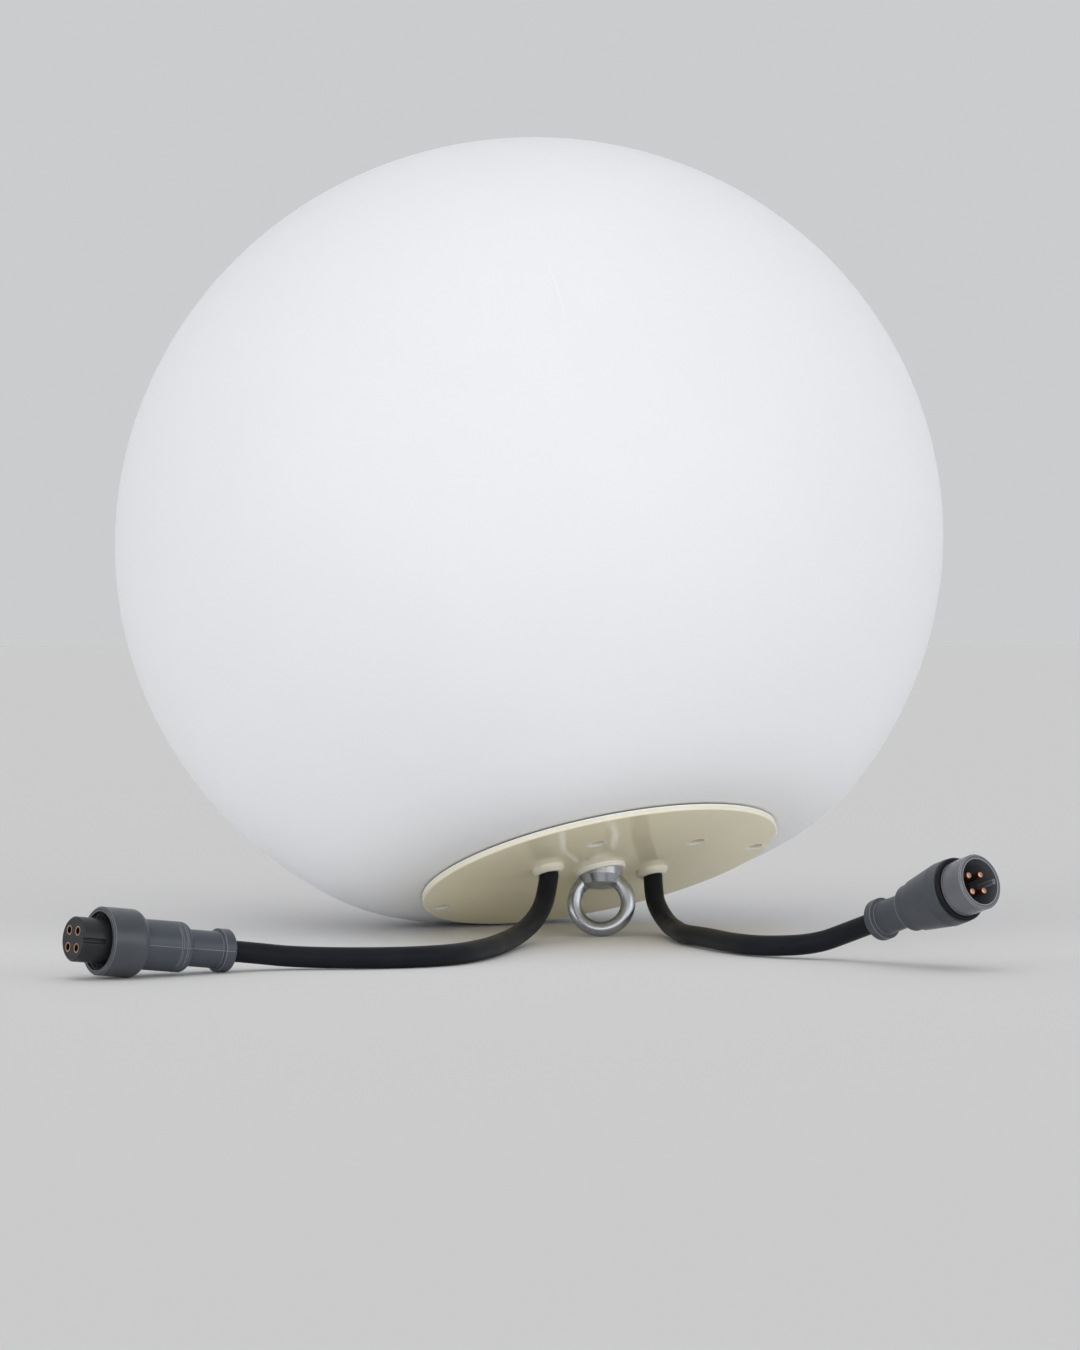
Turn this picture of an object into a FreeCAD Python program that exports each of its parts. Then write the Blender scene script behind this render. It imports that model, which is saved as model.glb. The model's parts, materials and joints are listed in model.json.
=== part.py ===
import FreeCAD, Part
import math
import os
from FreeCAD import Placement, Rotation, Vector

# Garden globe light, lying on the ground as it is laid down: it leans on its hanging eye.
# Millimetres. Row frame: +Z up, ground at z = 0, origin on the ground straight below the globe's centre.
# The lamp is drawn in its own frame first: z runs from the globe's centre out through the cover plate,
# x to the right along the row's X.  One turn about X then lays it down.
# A connector is drawn along its own z, from the rear end face, where the cable goes in, to the mouth.

# ---------------------------------------------------------------- globe and cover plate
GLOBE_R = 150.0            # equator of the globe
POLE_FLAT = 5.1            # the globe is this much flatter at the poles
WALL = 2.5                 # moulded wall
SEAT_DROP = 22.4           # from the pole, if the globe went on, to the flat seat round its mouth
SHOULDER_R = 58.0          # round shoulder between the globe and its seat
SEAT_W = 13.3              # from the plate's edge to the mouth
GASKET_T = 0.5
GASKET_RECESS = 1.0        # gasket edge back from the plate's edge
PLATE_R = 64.3
PLATE_T = 2.0
PLATE_EDGE_R = 0.6         # rounded front edge
SPIGOT_GAP = 0.5           # plate's spigot inside the mouth
SPIGOT_T = 2.0
SPIGOT_L = 7.0
RIB_T = 1.6
RIB_H = 5.0
RIBS = 6
FIT = 0.05                 # radial gap of parts that seat in each other
LOOSE = 0.2                # radial gap of a bolt in its hole

# ---------------------------------------------------------------- screws of the cover
RIM_INSET = 6.0            # from the plate's edge
RIM_ANGLES = (-138.0, 19.5)
RIM_HEAD_R = 2.5
RIM_HEAD_H = 1.8
RIM_SHANK_R = 1.5
RIM_SCREW_L = 8.0
FRAME_SCREW_PAST = 3.0     # how far the frame screws reach through the foot plate
CROSS_W = 0.56             # cross recess of a screw's head, as shares of the head's radius
CROSS_L = 1.24
CROSS_D = 0.9
HEAD_CHAMFER = 0.4         # share of the head's height, and of the shank's radius at its end
RIM_RECESS_R = 2.8
RIM_RECESS_D = 4.2
FRAME_PITCH_R = 36.0
FRAME_ANGLES = (125.5, 50.0)
FRAME_HEAD_R = 2.8
FRAME_HEAD_H = 2.2
FRAME_SHANK_R = 2.0
FRAME_RECESS_R = 3.15
FRAME_RECESS_D = 6.0
BOSS_WALL = 1.2            # wall round a recess
BOSS_FLOOR = 1.3           # floor under a screw head
INSERT_R = 2.6
INSERT_L = 7.0
INSERT_WALL = 2.4          # boss wall round a threaded insert

# ---------------------------------------------------------------- hanging eye
EYE_RING_R = 9.5           # middle of the ring's wire
EYE_WIRE_R = 2.6
EYE_CENTRE_H = 12.5        # ring centre above the plate's face, along the eye's own axis
EYE_TURN = 36.0            # how far the ring is turned about the bolt, in degrees
EYE_LEAN = 10.5            # how far the ring leans sideways off the bolt, in degrees
COLLAR_SUNK = 1.6          # the leaning collar starts this much lower, and is cut flush with the washer
COLLAR_R = 7.6
COLLAR_NECK_R = 6.4
COLLAR_H = 4.5
COLLAR_LIP = 1.5
CROOK_ROUND = 2.0          # fillet between the collar and the inside of the ring
EYE_SHANK_R = 3.0
EYE_SHANK_L = 29.0
EYE_SHANK_CHAMFER = 0.8
WASHER_R = 9.1
WASHER_T = 1.6
WASHER_ROUND = 0.4
EYE_BOSS_R = 7.5
SPRING_WASHER_R = 5.6
SPRING_WASHER_T = 1.6
SPRING_WASHER_SPLIT = 0.6
EYE_NUT_FLATS = 10.0
EYE_NUT_H = 5.0
EYE_NUT_CHAMFER = 0.6

# ---------------------------------------------------------------- cables and grommets
CABLE_R = 3.4
GROMMET_PITCH_R = 25.2
GROMMET_ANGLES = {"left": 171.7, "right": -8.5}
GROMMET_R = 5.8
GROMMET_DOME = 2.4
GROMMET_NECK_R = 4.6
GROMMET_LIP_R = 4.4
GROMMET_BACK_R = 5.7
GROMMET_BACK_T = 1.8
GROMMET_BACK_EDGE = 0.5
GROMMET_ROUND = 1.0
GROMMET_LIP_ROUND = 0.6
TIE_T = 1.4
TIE_W = 3.6
TIE_HEAD = 5.0
JACKET_IN = 9.5            # the jacket ends this far behind the plate's face
CORE_R = 0.75
CORE_PITCH_R = 1.6
CORE_RISE = 1.6            # lowest core above the driver board
CORE_STEP = 1.8            # each next core runs this much higher
CORE_IN_BLOCK = 4.0

# ---------------------------------------------------------------- light engine
FOOT_DROP = 17.0           # from the plate's face to the foot plate's side that faces the globe's centre
FOOT_T = 2.0
FOOT_MARGIN = 2.0          # foot plate beyond the column
FOOT_CORNER_R = 3.0
FOOT_SIDE_Y = 12.0         # the plate's straight sides end here and slope out to the frame screws
FOOT_EAR = 6.5             # plate round each frame screw
TAB_GAP = 7.0              # between the column and the tab's far side
TAB_H = 40.0
COLUMN_HALF = 17.0
COLUMN_T = 1.6
COLUMN_L = 148.0
CHANNEL_R = 2.8            # screw channels in two corners
CHANNEL_SINK = 0.5         # how far a channel runs into the walls
CHANNEL_SCREW_R = 1.4
BOARD_T = 1.6
LED_BOARD_W = 28.0
BOARD_FROM_FOOT = 48.0     # bare column above the LED boards
BOARD_FROM_END = 2.0
LEDS_PER_BOARD = 5
LED_SIZE = 5.0
LED_H = 1.6
END_LED_AT = 8.5
SMALL_HEAD_R = 2.4
SMALL_HEAD_H = 1.7
SMALL_SCREW_L = 9.0
DRIVER_W = 40.0
DRIVER_H = 34.0
DRIVER_DROP = 4.0          # driver board's upper edge under the foot plate
SPACER_L = 4.0
SPACER_R = 2.5
SPACER_BORE_R = 1.5
SPACER_INSET = 4.0
DRIVER_SCREW_R = 1.4
PARTS_DROP = 21.0          # chip's and capacitor's middle under the board's upper edge
CHIP = (10.0, 1.6, 10.0)
CHIP_X = -6.0
CHIP_CHAMFER = 0.25
CAPACITOR_R = 4.0
CAPACITOR_L = 12.0
CAPACITOR_X = 7.0
CAPACITOR_ROUND = 0.6
TERMINAL = (26.0, 8.0, 9.0)
TERMINAL_PITCH = 3.0
TERMINAL_DROP = 1.0        # block's top under the board's upper edge
TERMINAL_SCREW_R = 1.0
TERMINAL_SCREW_D = 1.2
LEAD_R = 0.6
LEAD_PITCH = 4.0
LEAD_INSET = 3.0           # from the driver board's lower edge
LEAD_DROP = 9.0            # straight part behind the board
LEAD_ON_BOARD = 5.0        # soldered length on the LED board

# ---------------------------------------------------------------- socket connector, on the left cable
SOCKET_FLANGE_R = 6.85
SOCKET_FLANGE_L = 3.8
FLANGE_ROUND = 0.5
FLANGE_TAPER = 0.6         # short cone from the flange to the neck
SOCKET_NECK_R = 5.85
SOCKET_BODY_R = 7.95
SOCKET_BODY_Z = (15.9, 32.6)
SOCKET_BACK_ROUND = 1.9
SOCKET_LINES = (2.3, 4.2)  # two fine grooves, from the back of the body
GROOVE = 0.35
NUT_LIP_BORE_R = 7.3
NUT_R = 10.7
NUT_L = 13.5
NUT_PLAY = 0.4             # between the body and the nut's rear face
NUT_LIP_T = 2.0
NUT_THREAD_R = 9.25
NUT_SHOULDER_ROUND = 2.6   # at the nut's rear
NUT_MOUTH_CHAMFER = 0.5
RETAINER_R = 8.7
RETAINER_L = 1.4
CARRIER_R = 7.0
CARRIER_CHAMFER = 0.5
SOCKET_L = 55.4
KEY_R = 0.9
KEY_W = 1.4                # the plug's key is a little narrower than the socket's keyway
KEY_H = 0.8
KEY_L = 7.0
KEY_BACK = 1.0             # key's front end behind the barrel's mouth
CONTACT_PITCH = 5.3        # contacts stand on a square
CONTACT_R = 1.5
CONTACT_BORE_R = 1.15
CONTACT_DEPTH = 12.0
CONTACT_FLOOR = 3.0
SEAL_T = 1.5

# ---------------------------------------------------------------- plug connector, on the right cable
PLUG_FLANGE_R = 6.85
PLUG_FLANGE_L = 3.0
PLUG_NECK_R = 5.6
PLUG_BODY_Z = (19.6, 37.2)
PLUG_BACK_R = 8.5
PLUG_COLLAR_R = 10.5
PLUG_COLLAR_L = 5.0
PLUG_STEP = 3.8            # small step ring behind the body
PLUG_STEP_IN = 0.8
PLUG_BACK_ROUND = 0.6
PLUG_COLLAR_ROUND = 0.5
BARREL_R = 9.0
BARREL_BORE_R = 7.5
BARREL_L = 10.3
BARREL_ROOT = 5.0          # seated in the body
BARREL_ROOT_R = 8.6        # thinner root, which also carries the O-ring
BARREL_CHAMFER = 0.4
O_RING_R = 0.9
INSERT_STAND = -1.5        # insert's face behind the body's
PIN_R = 1.1
PIN_ROUND = 0.55
PIN_BACK = 1.5             # pin tips behind the barrel's mouth
PIN_SUNK = 2.9             # pin roots behind the insert's face

# ---------------------------------------------------------------- where the free pieces lie (row frame)
LEFT_ROUTE = [(-27.8, -51.8, 16.7), (-32.0, -55.0, 12.0), (-41.5, -60.0, 6.0), (-58.5, -72.5, 3.6),
              (-73.0, -93.0, 3.5), (-94.0, -112.0, 3.5), (-118.5, -129.5, 3.5), (-142.5, -127.5, 3.5),
              (-166.0, -112.5, 3.8)]
LEFT_END = (-189.8, -109.0)
LEFT_HEADING = 181.0       # degrees from +X
LEFT_LAST_RUN = 8.0        # straight into the connector
RIGHT_ROUTE = [(22.5, -46.0, 13.2), (20.5, -52.0, 8.2), (17.0, -63.0, 4.0), (8.5, -81.0, 3.6),
               (-4.0, -95.5, 3.5), (-6.0, -117.5, 3.6), (-13.2, -141.0, 3.6), (-13.2, -160.0, 3.6),
               (-4.5, -174.0, 5.0)]
RIGHT_END = (1.5, -199.3)
RIGHT_END_H = 14.0         # the short stiff cable holds this connector off the ground
RIGHT_HEADING = -84.0
RIGHT_RISE = 18.0
RIGHT_LAST_RUN = 14.5
ARC_SHARE = 0.45           # of the shorter run, used by each arc of a cable
TRIM = 2.0                 # cable drawn this far into its grommet, then cut flush

# ---------------------------------------------------------------- worked out from the sizes above
POLE_R = GLOBE_R - POLE_FLAT
SEAT_Z = POLE_R - SEAT_DROP
MOUTH_R = PLATE_R - SEAT_W
PLATE_BACK_Z = SEAT_Z + GASKET_T
FACE_Z = PLATE_BACK_Z + PLATE_T
WASHER_Z = FACE_Z + WASHER_T
RIM_PITCH_R = PLATE_R - RIM_INSET
JACKET_END_Z = FACE_Z - JACKET_IN
FOOT_Z = FACE_Z - FOOT_DROP
FOOT_TOP = FOOT_Z + FOOT_T
FOOT_HALF_W = COLUMN_HALF + FOOT_MARGIN
TAB_Y = -COLUMN_HALF - TAB_GAP
COLUMN_END = FOOT_Z - COLUMN_L
LED_BOARD_TOP = FOOT_Z - BOARD_FROM_FOOT
LED_BOARD_L = COLUMN_L - BOARD_FROM_FOOT - BOARD_FROM_END
DRIVER_TOP = FOOT_Z - DRIVER_DROP
CHANNEL_AT = COLUMN_HALF - COLUMN_T - CHANNEL_R + CHANNEL_SINK
ORIGIN = Vector(0, 0, 0)
UP = Vector(0, 0, 1)


def polar(radius, degrees):
    a = math.radians(degrees)
    return radius * math.cos(a), radius * math.sin(a)


RIM_SPOTS = [polar(RIM_PITCH_R, a) for a in RIM_ANGLES]
FRAME_SPOTS = [polar(FRAME_PITCH_R, a) for a in FRAME_ANGLES]
GROMMET_SPOTS = {side: polar(GROMMET_PITCH_R, a) for side, a in GROMMET_ANGLES.items()}
SCREW_SPOTS = [(CHANNEL_AT, CHANNEL_AT), (-CHANNEL_AT, -CHANNEL_AT)]
PIN_SPOTS = [(sx * CONTACT_PITCH / 2, sy * CONTACT_PITCH / 2) for sx in (-1, 1) for sy in (-1, 1)]
DRIVER_SPOTS = [(sx * (DRIVER_W / 2 - SPACER_INSET), DRIVER_TOP - inset)
                for sx in (-1, 1) for inset in (SPACER_INSET, DRIVER_H - SPACER_INSET)]


# ---------------------------------------------------------------- solids used again and again
def cylinder(radius, low, high, spot=(0, 0)):
    return Part.makeCylinder(radius, high - low, Vector(spot[0], spot[1], low))


def sleeve(outer, inner, low, high, spot=(0, 0)):
    return cylinder(outer, low, high, spot).cut(cylinder(inner, low - 1, high + 1, spot))


def block(x, y, z):
    """A box from (low, high) pairs."""
    return Part.makeBox(x[1] - x[0], y[1] - y[0], z[1] - z[0], Vector(x[0], y[0], z[0]))


def centred(width, middle=0.0):
    return middle - width / 2, middle + width / 2


def turned(profile):
    """A solid of revolution about z from a closed outline of (radius, z) points."""
    points = [Vector(r, 0, z) for r, z in profile]
    wire = Part.makePolygon(points + [points[0]])
    return Part.Face(wire).revolve(ORIGIN, UP, 360)


def line(a, b):
    return Part.LineSegment(a, b).toShape()


def rim_edges(shape, radius, height):
    """The circular edges of one radius at one height."""
    found = []
    for edge in shape.Edges:
        curve = edge.Curve
        if isinstance(curve, Part.Circle) and abs(curve.Radius - radius) < 1e-4 \
                and abs(edge.BoundBox.ZMin - height) < 1e-4 and abs(edge.BoundBox.ZMax - height) < 1e-4:
            found.append(edge)
    return found


def rounded(shape, radius, height, size):
    return shape.makeFillet(size, rim_edges(shape, radius, height))


def chamfered(shape, radius, height, size):
    return shape.makeChamfer(size, rim_edges(shape, radius, height))


def fused(first, *others):
    return first.fuse(list(others)).removeSplitter() if others else first


def group(shapes):
    return Part.makeCompound(shapes)


def cable(points, radius):
    """A tube along straight runs joined by tangent arcs; prints the arcs' radii."""
    edges = []
    radii = []
    start = points[0]
    for i in range(1, len(points) - 1):
        back = points[i - 1] - points[i]
        ahead = points[i + 1] - points[i]
        turn = math.pi - back.getAngle(ahead)
        reach = ARC_SHARE * min(back.Length, ahead.Length)
        radii.append(reach / math.tan(turn / 2))
        back.normalize()
        ahead.normalize()
        first = points[i] + back * reach
        last = points[i] + ahead * reach
        middle = back + ahead
        middle.normalize()
        sag = radii[-1] * (1 / math.cos(turn / 2) - 1)
        edges.append(line(start, first))
        edges.append(Part.Arc(first, points[i] + middle * sag, last).toShape())
        start = last
    edges.append(line(start, points[-1]))
    path = Part.Wire(edges)
    section = Part.Wire(Part.makeCircle(radius, points[0], points[1] - points[0]))
    tube = path.makePipeShell([section], True, False)
    print("cable: length %.1f, volume share %.4f, radii %s" % (
        path.Length, tube.Volume / (path.Length * math.pi * radius ** 2), [round(r, 1) for r in radii]))
    return tube


def pan_screw(head_r, head_h, shank_r, length):
    """A pan head screw whose head sits on z = 0, with its shank along -z."""
    head = chamfered(cylinder(head_r, 0, head_h), head_r, head_h, head_h * HEAD_CHAMFER)
    wide, long = head_r * CROSS_W, head_r * CROSS_L
    for x, y in ((wide, long), (long, wide)):
        head = head.cut(block(centred(x), centred(y), (head_h - CROSS_D, head_h + 1)))
    shank = chamfered(cylinder(shank_r, -length, 0), shank_r, -length, shank_r * HEAD_CHAMFER)
    return fused(head, shank)


# ---------------------------------------------------------------- globe
def shoulder(equator, pole, seat, blend):
    """Centre (r, z) of the round shoulder that touches both the globe's ellipse and its flat seat."""
    def centre(t):
        normal = Vector(math.cos(t) / equator, 0, math.sin(t) / pole)
        normal.normalize()
        return equator * math.cos(t) - blend * normal.x, pole * math.sin(t) - blend * normal.z

    low, high = 0.0, math.pi / 2
    while high - low > 1e-12:
        t = (low + high) / 2
        if centre(t)[1] > seat - blend:
            high = t
        else:
            low = t
    return centre(t), t


def globe_body(inset):
    """The globe up to its flat seat, set in by the wall: an arc of the ellipse, then the shoulder's arc."""
    equator, pole, seat, blend = GLOBE_R - inset, POLE_R - inset, SEAT_Z - inset, SHOULDER_R - inset
    (cr, cz), t = shoulder(equator, pole, seat, blend)
    ellipse = Part.Ellipse(Vector(equator, 0, 0), Vector(0, 0, pole), ORIGIN)
    touch = Vector(equator * math.cos(t), 0, pole * math.sin(t))
    middle_angle = (math.atan2(touch.z - cz, touch.x - cr) + math.pi / 2) / 2
    middle = Vector(cr + blend * math.cos(middle_angle), 0, cz + blend * math.sin(middle_angle))
    seat_start = Vector(cr, 0, seat)
    seat_middle = Vector(0, 0, seat)
    edges = [Part.Arc(ellipse, -math.pi / 2, t).toShape(), Part.Arc(touch, middle, seat_start).toShape(),
             line(seat_start, seat_middle), line(seat_middle, Vector(0, 0, -pole))]
    return Part.Face(Part.Wire(edges)).revolve(ORIGIN, UP, 360)


def insert_face():
    """Outer face of the threaded inserts, just under the cover's bosses."""
    return FACE_Z - RIM_RECESS_D - BOSS_FLOOR - FIT


def globe_shell():
    shell = globe_body(0).cut(globe_body(WALL)).cut(cylinder(MOUTH_R, SEAT_Z - 2 * WALL, SEAT_Z + 1))
    well_r = RIM_RECESS_R + BOSS_WALL + LOOSE
    insert_top = insert_face()
    boss_low = insert_top - INSERT_L - INSERT_WALL
    bosses = [cylinder(INSERT_R + INSERT_WALL, boss_low, SEAT_Z - WALL, spot) for spot in RIM_SPOTS]
    shell = fused(shell, *bosses)
    for spot in RIM_SPOTS:
        shell = shell.cut(cylinder(well_r, insert_top, SEAT_Z + 1, spot))
        shell = shell.cut(cylinder(INSERT_R + FIT, insert_top - INSERT_L, insert_top + 1, spot))
    return shell


def mouth_gasket():
    gasket = sleeve(PLATE_R - GASKET_RECESS, MOUTH_R + SPIGOT_GAP, SEAT_Z, PLATE_BACK_Z)
    for spot in RIM_SPOTS:
        gasket = gasket.cut(cylinder(RIM_RECESS_R + BOSS_WALL + LOOSE, SEAT_Z - 1, PLATE_BACK_Z + 1, spot))
    return gasket


def base_plate():
    plate = rounded(cylinder(PLATE_R, PLATE_BACK_Z, FACE_Z), PLATE_R, FACE_Z, PLATE_EDGE_R)
    spigot_r = MOUTH_R - SPIGOT_GAP
    pieces = [sleeve(spigot_r, spigot_r - SPIGOT_T, PLATE_BACK_Z - SPIGOT_L, PLATE_BACK_Z),
              cylinder(EYE_BOSS_R, FOOT_TOP, PLATE_BACK_Z)]
    for i in range(RIBS):
        rib = block((0, spigot_r - SPIGOT_T / 2), centred(RIB_T), (PLATE_BACK_Z - RIB_H, PLATE_BACK_Z))
        rib.rotate(ORIGIN, UP, 360.0 * (i + 0.5) / RIBS)
        pieces.append(rib)
    pieces += [cylinder(RIM_RECESS_R + BOSS_WALL, FACE_Z - RIM_RECESS_D - BOSS_FLOOR, PLATE_BACK_Z, s)
               for s in RIM_SPOTS]
    pieces += [cylinder(FRAME_RECESS_R + BOSS_WALL, FOOT_TOP, PLATE_BACK_Z, s) for s in FRAME_SPOTS]
    plate = fused(plate, *pieces)
    holes = [cylinder(EYE_SHANK_R + LOOSE, FOOT_TOP - 1, FACE_Z + 1)]
    for spot in RIM_SPOTS:
        holes.append(cylinder(RIM_RECESS_R, FACE_Z - RIM_RECESS_D, FACE_Z + 1, spot))
        holes.append(cylinder(RIM_SHANK_R + LOOSE, SEAT_Z - 2 * WALL, FACE_Z, spot))
    for spot in FRAME_SPOTS:
        holes.append(cylinder(FRAME_RECESS_R, FACE_Z - FRAME_RECESS_D, FACE_Z + 1, spot))
        holes.append(cylinder(FRAME_SHANK_R + LOOSE, FOOT_TOP - 1, FACE_Z, spot))
    for spot in GROMMET_SPOTS.values():
        holes.append(cylinder(GROMMET_NECK_R + FIT, PLATE_BACK_Z - RIB_H - 1, FACE_Z + 1, spot))
        holes.append(cylinder(GROMMET_BACK_R + LOOSE, PLATE_BACK_Z - RIB_H - 1, PLATE_BACK_Z, spot))
    return plate.cut(group(holes))


def rim_screws():
    screw = pan_screw(RIM_HEAD_R, RIM_HEAD_H, RIM_SHANK_R, RIM_SCREW_L)
    seat = FACE_Z - RIM_RECESS_D
    return group([screw.translated(Vector(x, y, seat)) for x, y in RIM_SPOTS])


def rim_inserts():
    top = insert_face()
    return group([sleeve(INSERT_R, RIM_SHANK_R + FIT, top - INSERT_L, top, spot) for spot in RIM_SPOTS])


def frame_screws():
    seat = FACE_Z - FRAME_RECESS_D
    screw = pan_screw(FRAME_HEAD_R, FRAME_HEAD_H, FRAME_SHANK_R, seat - FOOT_Z + FRAME_SCREW_PAST)
    return group([screw.translated(Vector(x, y, seat)) for x, y in FRAME_SPOTS])


# ---------------------------------------------------------------- hanging eye
def eye_axes():
    """The eye's own axis and the axis of its hole: the ring is turned on the bolt and leans to one side."""
    hole = Rotation(UP, EYE_TURN).multVec(Vector(0, 1, 0))
    return Rotation(hole, -EYE_LEAN).multVec(UP), hole


def leaning(shape):
    """Turns and leans a shape as the eye's ring stands, about the middle of the plate's face."""
    foot = Vector(0, 0, FACE_Z)
    _, hole = eye_axes()
    shape.rotate(foot, UP, EYE_TURN)
    shape.rotate(foot, hole, -EYE_LEAN)
    return shape


def eye_bolt():
    ring = Part.makeTorus(EYE_RING_R, EYE_WIRE_R, Vector(0, 0, FACE_Z + EYE_CENTRE_H), Vector(0, 1, 0))
    top = WASHER_Z
    low = top - COLLAR_SUNK
    ring = ring.cut(cylinder(EYE_RING_R + 2 * EYE_WIRE_R, low - EYE_RING_R, top))
    collar = turned([(0, low), (COLLAR_R, low), (COLLAR_R, top + COLLAR_LIP),
                     (COLLAR_NECK_R, top + COLLAR_H), (0, top + COLLAR_H)])
    shank = cylinder(EYE_SHANK_R, top - EYE_SHANK_L, top)
    eye = fused(ring, collar)
    crooks = [e for e in eye.Edges
              if e.BoundBox.ZMin > top + COLLAR_H - FIT and not isinstance(e.Curve, Part.Circle)]
    eye = leaning(eye.makeFillet(CROOK_ROUND, crooks))
    eye = eye.cut(cylinder(2 * COLLAR_R, top - EYE_RING_R, top))
    return fused(eye, chamfered(shank, EYE_SHANK_R, top - EYE_SHANK_L, EYE_SHANK_CHAMFER))


def eye_washer():
    washer = sleeve(WASHER_R, EYE_SHANK_R + LOOSE, FACE_Z, WASHER_Z)
    return rounded(washer, WASHER_R, WASHER_Z, WASHER_ROUND)


def spring_washer():
    low = FOOT_Z - SPRING_WASHER_T
    ring = sleeve(SPRING_WASHER_R, EYE_SHANK_R + LOOSE, low, FOOT_Z)
    split = block((EYE_SHANK_R, SPRING_WASHER_R + 1), centred(SPRING_WASHER_SPLIT), (low - 1, FOOT_Z + 1))
    return ring.cut(split)


def eye_nut():
    top = FOOT_Z - SPRING_WASHER_T
    low = top - EYE_NUT_H
    corner_r = EYE_NUT_FLATS / 2 / math.cos(math.pi / 6)
    corners = [Vector(*polar(corner_r, 60.0 * i), low) for i in range(7)]
    prism = Part.Face(Part.makePolygon(corners)).extrude(Vector(0, 0, EYE_NUT_H))
    blank_r = corner_r - FIT
    blank = chamfered(cylinder(blank_r, low, top), blank_r, low, EYE_NUT_CHAMFER)
    return prism.common(blank).cut(cylinder(EYE_SHANK_R + FIT, low - 1, top + 1))


# ---------------------------------------------------------------- grommets and the cables' inner ends
def grommet(side):
    x, y = GROMMET_SPOTS[side]
    bore = CABLE_R + FIT
    back = PLATE_BACK_Z - GROMMET_BACK_T
    brow = FACE_Z + GROMMET_DOME / 2
    top = FACE_Z + GROMMET_DOME
    body = turned([(bore, back), (GROMMET_BACK_R - GROMMET_BACK_EDGE, back),
                   (GROMMET_BACK_R, back + GROMMET_BACK_EDGE), (GROMMET_BACK_R, PLATE_BACK_Z),
                   (GROMMET_NECK_R, PLATE_BACK_Z), (GROMMET_NECK_R, FACE_Z), (GROMMET_R, FACE_Z),
                   (GROMMET_R, brow), (GROMMET_LIP_R, top), (bore, top)])
    body = rounded(body, GROMMET_R, brow, GROMMET_ROUND)
    body = rounded(body, GROMMET_LIP_R, top, GROMMET_LIP_ROUND)
    return body.translated(Vector(x, y, 0))


def inner_cable(side):
    return cylinder(CABLE_R, JACKET_END_Z, FACE_Z + GROMMET_DOME, GROMMET_SPOTS[side])


def stop_tie(side):
    """A nylon tie drawn tight behind the grommet, so that the cable can't be pulled out."""
    x, y = GROMMET_SPOTS[side]
    top = PLATE_BACK_Z - GROMMET_BACK_T - FIT
    outer = CABLE_R + TIE_T
    band = cylinder(outer, top - TIE_W, top)
    head = block((outer - TIE_T, outer + TIE_HEAD - TIE_T), centred(TIE_HEAD), (top - TIE_W, top))
    bore = cylinder(CABLE_R + FIT, top - TIE_W - 1, top + 1)
    tie = fused(band, head).cut(bore)
    tie.rotate(ORIGIN, UP, 90.0)
    return tie.translated(Vector(x, y, 0))


def core_spots(side):
    """Where the four cores of one cable go into the terminal block, the outermost first."""
    sign = -1 if side == "left" else 1
    return [sign * (TERMINAL[0] / 2 - TERMINAL_PITCH * (i + 0.5)) for i in range(4)]


def cores(side):
    """Four cores from the cut jacket, over the terminal block's end and down into it, one above the other."""
    x, y = GROMMET_SPOTS[side]
    entry_y = driver_front() - TERMINAL[1] / 2
    tubes = []
    for i, end_x in enumerate(core_spots(side)):
        dx, dy = polar(CORE_PITCH_R, 45.0 + 90.0 * i)
        run_z = DRIVER_TOP + CORE_RISE + CORE_STEP * i
        tubes.append(cable([Vector(x + dx, y + dy, JACKET_END_Z), Vector(x + dx, y + dy, run_z),
                            Vector(x + dx, entry_y, run_z), Vector(end_x, entry_y, run_z),
                            Vector(end_x, entry_y, terminal_top() - CORE_IN_BLOCK)], CORE_R))
    return group(tubes)


# ---------------------------------------------------------------- light engine
def foot_plate():
    """Steel plate under the cover's bosses, with a tab bent down for the driver board."""
    w = FOOT_HALF_W
    spread = 1 + FOOT_EAR / FRAME_PITCH_R
    far, near = FRAME_SPOTS
    corners = [(-w, TAB_Y), (w, TAB_Y), (w, FOOT_SIDE_Y), (near[0] + FOOT_EAR, near[1] - FOOT_EAR),
               (near[0] * spread, near[1] * spread), (far[0] * spread, far[1] * spread),
               (far[0] - FOOT_EAR, far[1] - FOOT_EAR), (-w, FOOT_SIDE_Y)]
    outline = Part.makePolygon([Vector(x, y, FOOT_Z) for x, y in corners + corners[:1]])
    flat = Part.Face(outline).extrude(Vector(0, 0, FOOT_T))
    upright = [e for e in flat.Edges
               if abs(e.BoundBox.ZLength - FOOT_T) < 1e-6 and e.BoundBox.YMin > TAB_Y + 1]
    flat = flat.makeFillet(FOOT_CORNER_R, upright)
    tab = block((-w, w), (TAB_Y, TAB_Y + FOOT_T), (FOOT_TOP - TAB_H, FOOT_TOP))
    plate = fused(flat, tab)
    holes = [cylinder(EYE_SHANK_R + LOOSE, FOOT_Z - 1, FOOT_TOP + 1)]
    holes += [cylinder(FRAME_SHANK_R + FIT, FOOT_Z - 1, FOOT_TOP + 1, s) for s in FRAME_SPOTS]
    holes += [cylinder(CHANNEL_SCREW_R + LOOSE, FOOT_Z - 1, FOOT_TOP + 1, s) for s in SCREW_SPOTS]
    holes += [Part.makeCylinder(DRIVER_SCREW_R + FIT, FOOT_T + 2, Vector(x, TAB_Y - 1, z), Vector(0, 1, 0))
              for x, z in DRIVER_SPOTS]
    return plate.cut(group(holes))


def foot_screws():
    screw = pan_screw(SMALL_HEAD_R, SMALL_HEAD_H, CHANNEL_SCREW_R, SMALL_SCREW_L)
    return group([screw.translated(Vector(x, y, FOOT_TOP)) for x, y in SCREW_SPOTS])


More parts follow.
